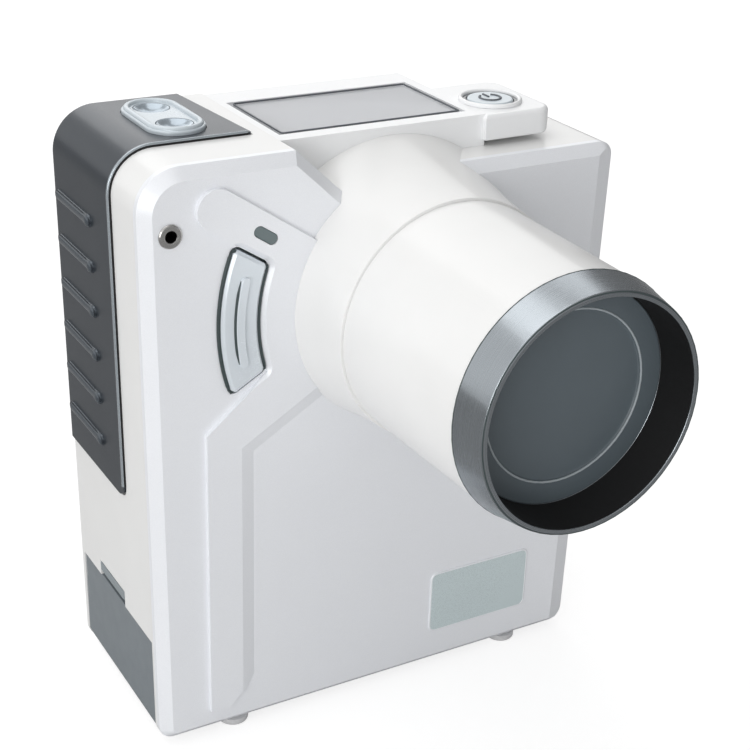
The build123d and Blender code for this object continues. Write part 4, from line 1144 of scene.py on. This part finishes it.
@dataclass
class Pod(Assembly):
    """The display pod with its screen and the power button."""

    roundings: Roundings = (
        # The pod and the power ring wear the brighter copy of the shell's white, painted light.
        Rounding("display_pod", Paint.POD, 0.5 * MM, 30),
        Rounding("screen_glass", Paint.SCREEN, 0.2 * MM),
        Rounding("power_ring", Paint.POD, 0.3 * MM),
        Rounding("power_light_guide", Paint.GUIDE, 0.1 * MM),
        Rounding("power_button", Paint.KEY, 0.2 * MM),
    )
    springs: Springs = (
        Spring("power_dome", Paint.SILICONE, "power_button_slide", 0.8 * MM),
    )
    plain: Plain = (
        ("display_module", Paint.DISPLAY),
        ("power_board", Paint.BOARD),
    )
    sign_radius: float = 3.4 * MM
    sign_bar: tuple[float, float] = (0.8 * MM, 4.2 * MM)
    sign_cord: float = 0.42 * MM
    seam_inset: float = 1.4 * MM
    seam_corner: float = 0.8 * MM
    seam_cord: float = 0.28 * MM
    seam_sink: float = 0.1 * MM

    def details(self) -> None:
        """Print the common power sign on the button and lay a dark line round the screen, its seam
        darkened as painted shade of its recess.
        """
        low, high = self.shop.box("power_button")
        x, y, top = (low.x + high.x) / 2, (low.y + high.y) / 2, high.z
        turns = [math.radians(125 + 290 * i / 28) for i in range(29)]
        reach = self.sign_radius
        ring = [Vector((x + reach * math.cos(a), y + reach * math.sin(a), top)) for a in turns]
        bar = [Vector((x, y + end, top)) for end in self.sign_bar]
        self.shop.line("power_sign_ring", ring, self.sign_cord, Paint.MARK, "power_button")
        self.shop.line("power_sign_bar", bar, self.sign_cord, Paint.MARK, "power_button")
        # The dark line round the screen: its seam, darkened as painted shade of the recess it sits
        # in.
        low, high = self.shop.box("screen_glass")
        top = self.shop.box("display_pod")[1].z - self.seam_sink
        left, right = low.x + self.seam_inset, high.x - self.seam_inset
        front, back = low.y + self.seam_inset, high.y - self.seam_inset
        corners = ((left, front), (right, front), (right, back), (left, back))
        rim = rounded_loop([Vector((x, y, top)) for x, y in corners], self.seam_corner, 3)
        self.shop.line("screen_seam_shade", rim, self.seam_cord, Paint.MARK, "display_pod", closed=True)


@dataclass
class Battery(Assembly):
    """The battery door, its latch and hinge, and the bay with its pack."""

    roundings: Roundings = (
        Rounding("battery_door", Paint.DOOR, 0.35 * MM, 30),
        Rounding("battery_latch", Paint.LATCH, 0.2 * MM),
    )
    springs: Springs = (
        Spring("latch_spring", Paint.STEEL, "battery_latch_slide", 2.0 * MM),
    )
    plain: Plain = (
        ("hinge_pin", Paint.STEEL),
        ("battery_bay", Paint.BLACK),
        ("battery_pack", Paint.WRAP),
        ("battery_contacts", Paint.BRASS),
    )
    pad_round: float = 0.3 * MM
    pad_thickness: float = 1.1 * MM
    pad_height: float = 3.2 * MM
    pad_ahead: float = 0.4 * MM
    pad_drop: float = 1.8 * MM
    pad_margin: float = 0.4 * MM

    def details(self) -> None:
        """Make the latch's finger pad."""
        low, high = self.shop.box("battery_latch")
        size = (self.pad_thickness, high.y - low.y - self.pad_margin, self.pad_height)
        middle = (low.x - self.pad_ahead, (low.y + high.y) / 2, high.z - self.pad_drop)
        mesh = bmesh.new()
        bmesh.ops.create_cube(mesh, size=1.0)
        bmesh.ops.scale(mesh, vec=size, verts=mesh.verts)
        bmesh.ops.translate(mesh, vec=middle, verts=mesh.verts)
        self.shop.soften(mesh, self.pad_round, 30)
        # The pad wears the lighter copy of the door's grey, painted light on the tab.
        self.shop.finish(mesh, "latch_pad", Paint.LATCH, "battery_latch")


@dataclass
class Inside(Assembly):
    """The tube head and the boards, which the closed housing hides."""

    plain: Plain = (
        ("tube_head_case", Paint.ALUMINIUM),
        ("tube_head_lid", Paint.ALUMINIUM),
        ("lead_liner", Paint.LEAD),
        ("xray_tube", Paint.BULB),
        ("anode", Paint.COPPER),
        ("cathode", Paint.STEEL),
        ("tube_cradle", Paint.SILICONE),
        ("transformer_core", Paint.CORE),
        ("transformer_winding", Paint.COPPER),
        ("voltage_multiplier", Paint.BOARD),
        ("beam_filter", Paint.ALUMINIUM),
        ("beam_collimator", Paint.ALUMINIUM),
        ("board_standoffs", Paint.BRASS),
        ("main_board", Paint.BOARD),
        ("board_chips", Paint.BLACK),
        ("buzzer", Paint.BLACK),
    )


@dataclass(frozen=True)
class Lamp:
    """One square soft lamp.

    Attributes:
        name: Its name.
        place: Where it stands, in metres.
        size: Its side in metres.
        power: Its power in watts.
    """

    name: str
    place: Place
    size: float
    power: float

    def stand(self, target: Vector) -> None:
        """Put the lamp into the scene, facing a point.

        Args:
            target: The point, in metres.
        """
        data = bpy.data.lights.new(self.name, "AREA")
        data.size = self.size
        data.energy = self.power
        lamp = bpy.data.objects.new(self.name, data)
        lamp.location = self.place
        lamp.rotation_euler = (target - Vector(self.place)).to_track_quat("-Z", "Y").to_euler()
        bpy.context.scene.collection.objects.link(lamp)


@dataclass
class Studio:
    """The camera, the lamps, the world and the floor.

    Attributes:
        eye: The camera's place in metres.
        yaw: Turn of the camera about +Z in degrees, from looking along +Y towards +X.
        pitch: Its tilt above the horizon in degrees.
        roll: Its turn about its own axis in degrees.
        lens: Focal length in millimetres.
        sensor: Width of the camera's sensor in millimetres.
        world_light: Strength of the world.
        tilt: Share by which the world is darker at the right, for matt surfaces.
        gloss_tilt: The same share for what gloss reflects.
        floor_half: Half the floor's side in metres.
        floor_glow: What the floor adds to itself where the camera sees it.
        aim: The point that the lamps face.
        lamps: The lamps.
    """

    eye: Place = (-0.226394, -0.368787, 0.324842)
    yaw: float = 30.201
    pitch: float = -25.155
    roll: float = 1.916
    lens: float = 75.5934
    sensor: float = 36.0
    world_light: float = 0.55
    tilt: float = 0.6
    gloss_tilt: float = 0.8
    floor_half: float = 20.0
    floor_glow: float = 0.76
    aim: Place = (0.0, 0.0, 0.1)
    lamps: tuple[Lamp, ...] = (
        Lamp("key", (-0.8, -0.68, 0.28), 0.55, 3.2),
        Lamp("above", (-0.3, 0.2, 1.4), 1.1, 4.5),
        Lamp("back", (0.35, 1.1, 0.9), 1.2, 5.0),
    )

    def camera(self) -> None:
        """Make the camera of the photograph's view."""
        yaw, pitch, roll = (math.radians(a) for a in (self.yaw, self.pitch, self.roll))
        ahead = Vector(
            (math.sin(yaw) * math.cos(pitch), math.cos(yaw) * math.cos(pitch), math.sin(pitch))
        )
        level = Vector((math.cos(yaw), -math.sin(yaw), 0))
        upright = level.cross(ahead)
        aside = math.cos(roll) * level + math.sin(roll) * upright
        above = -math.sin(roll) * level + math.cos(roll) * upright
        turn = Matrix((aside, above, -ahead)).transposed().to_4x4()
        data = bpy.data.cameras.new("camera")
        data.sensor_width = self.sensor
        data.lens = self.lens
        data.clip_start = 0.01
        camera = bpy.data.objects.new("camera", data)
        camera.matrix_world = Matrix.Translation(self.eye) @ turn
        bpy.context.scene.collection.objects.link(camera)
        bpy.context.scene.camera = camera

    def world(self) -> None:
        """Make a world that the camera sees as white and the object as brighter at the left."""
        world = bpy.data.worlds.new("world")
        world.use_nodes = True
        bpy.context.scene.world = world
        graph = Graph(world.node_tree)
        background = world.node_tree.nodes["Background"]
        seen = graph.node("ShaderNodeLightPath", out="Is Camera Ray")
        gloss = graph.node("ShaderNodeLightPath", out="Is Glossy Ray")
        to_right = graph.split(graph.node("ShaderNodeTexCoord", out="Generated"))[0]
        tilt = gloss * (self.gloss_tilt - self.tilt) + self.tilt
        light = (1.0 - to_right * tilt) * self.world_light
        graph.put(background, "Color", (1.0, 1.0, 1.0))
        graph.put(background, "Strength", light * (1.0 - seen) + seen)

    def floor(self) -> None:
        """Make the pale floor that the object stands on."""
        mesh = bmesh.new()
        bmesh.ops.create_grid(mesh, x_segments=1, y_segments=1, size=self.floor_half)
        data = bpy.data.meshes.new("floor")
        mesh.to_mesh(data)
        mesh.free()
        graph = Surface("floor_pale")
        seen = graph.node("ShaderNodeLightPath", out="Is Camera Ray")
        bounce = graph.node("ShaderNodeLightPath", out="Is Diffuse Ray")
        glow = (self.floor_glow,) * 3
        graph.dress(
            Base_Color=graph.blend(bounce, tone(160, 160, 160), tone(235, 235, 235)),
            Roughness=0.9,
            Specular_IOR_Level=0.0,
            Emission_Color=graph.blend(seen, (0.0, 0.0, 0.0), glow),
            Emission_Strength=1.0,
        )
        data.materials.append(graph.material)
        floor = bpy.data.objects.new("floor", data)
        bpy.context.scene.collection.objects.link(floor)

    def build(self) -> None:
        """Make the whole studio."""
        bpy.context.scene.view_settings.view_transform = "Standard"
        self.camera()
        self.world()
        self.floor()
        for lamp in self.lamps:
            lamp.stand(Vector(self.aim))


def main() -> None:
    """Load the frame, build the object's looks and its studio, and finish."""
    logging.basicConfig(level=logging.INFO, format="%(name)s: %(message)s")
    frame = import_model()
    shop = Workshop(frame)
    for part in (Body, Grip, ThumbKeys, Trigger, Fittings, Cone, Pod, Battery, Inside):
        LOG.info("building %s", part.__name__)
        part(shop).build()
    Studio().build()


if __name__ == "__main__":
    main()
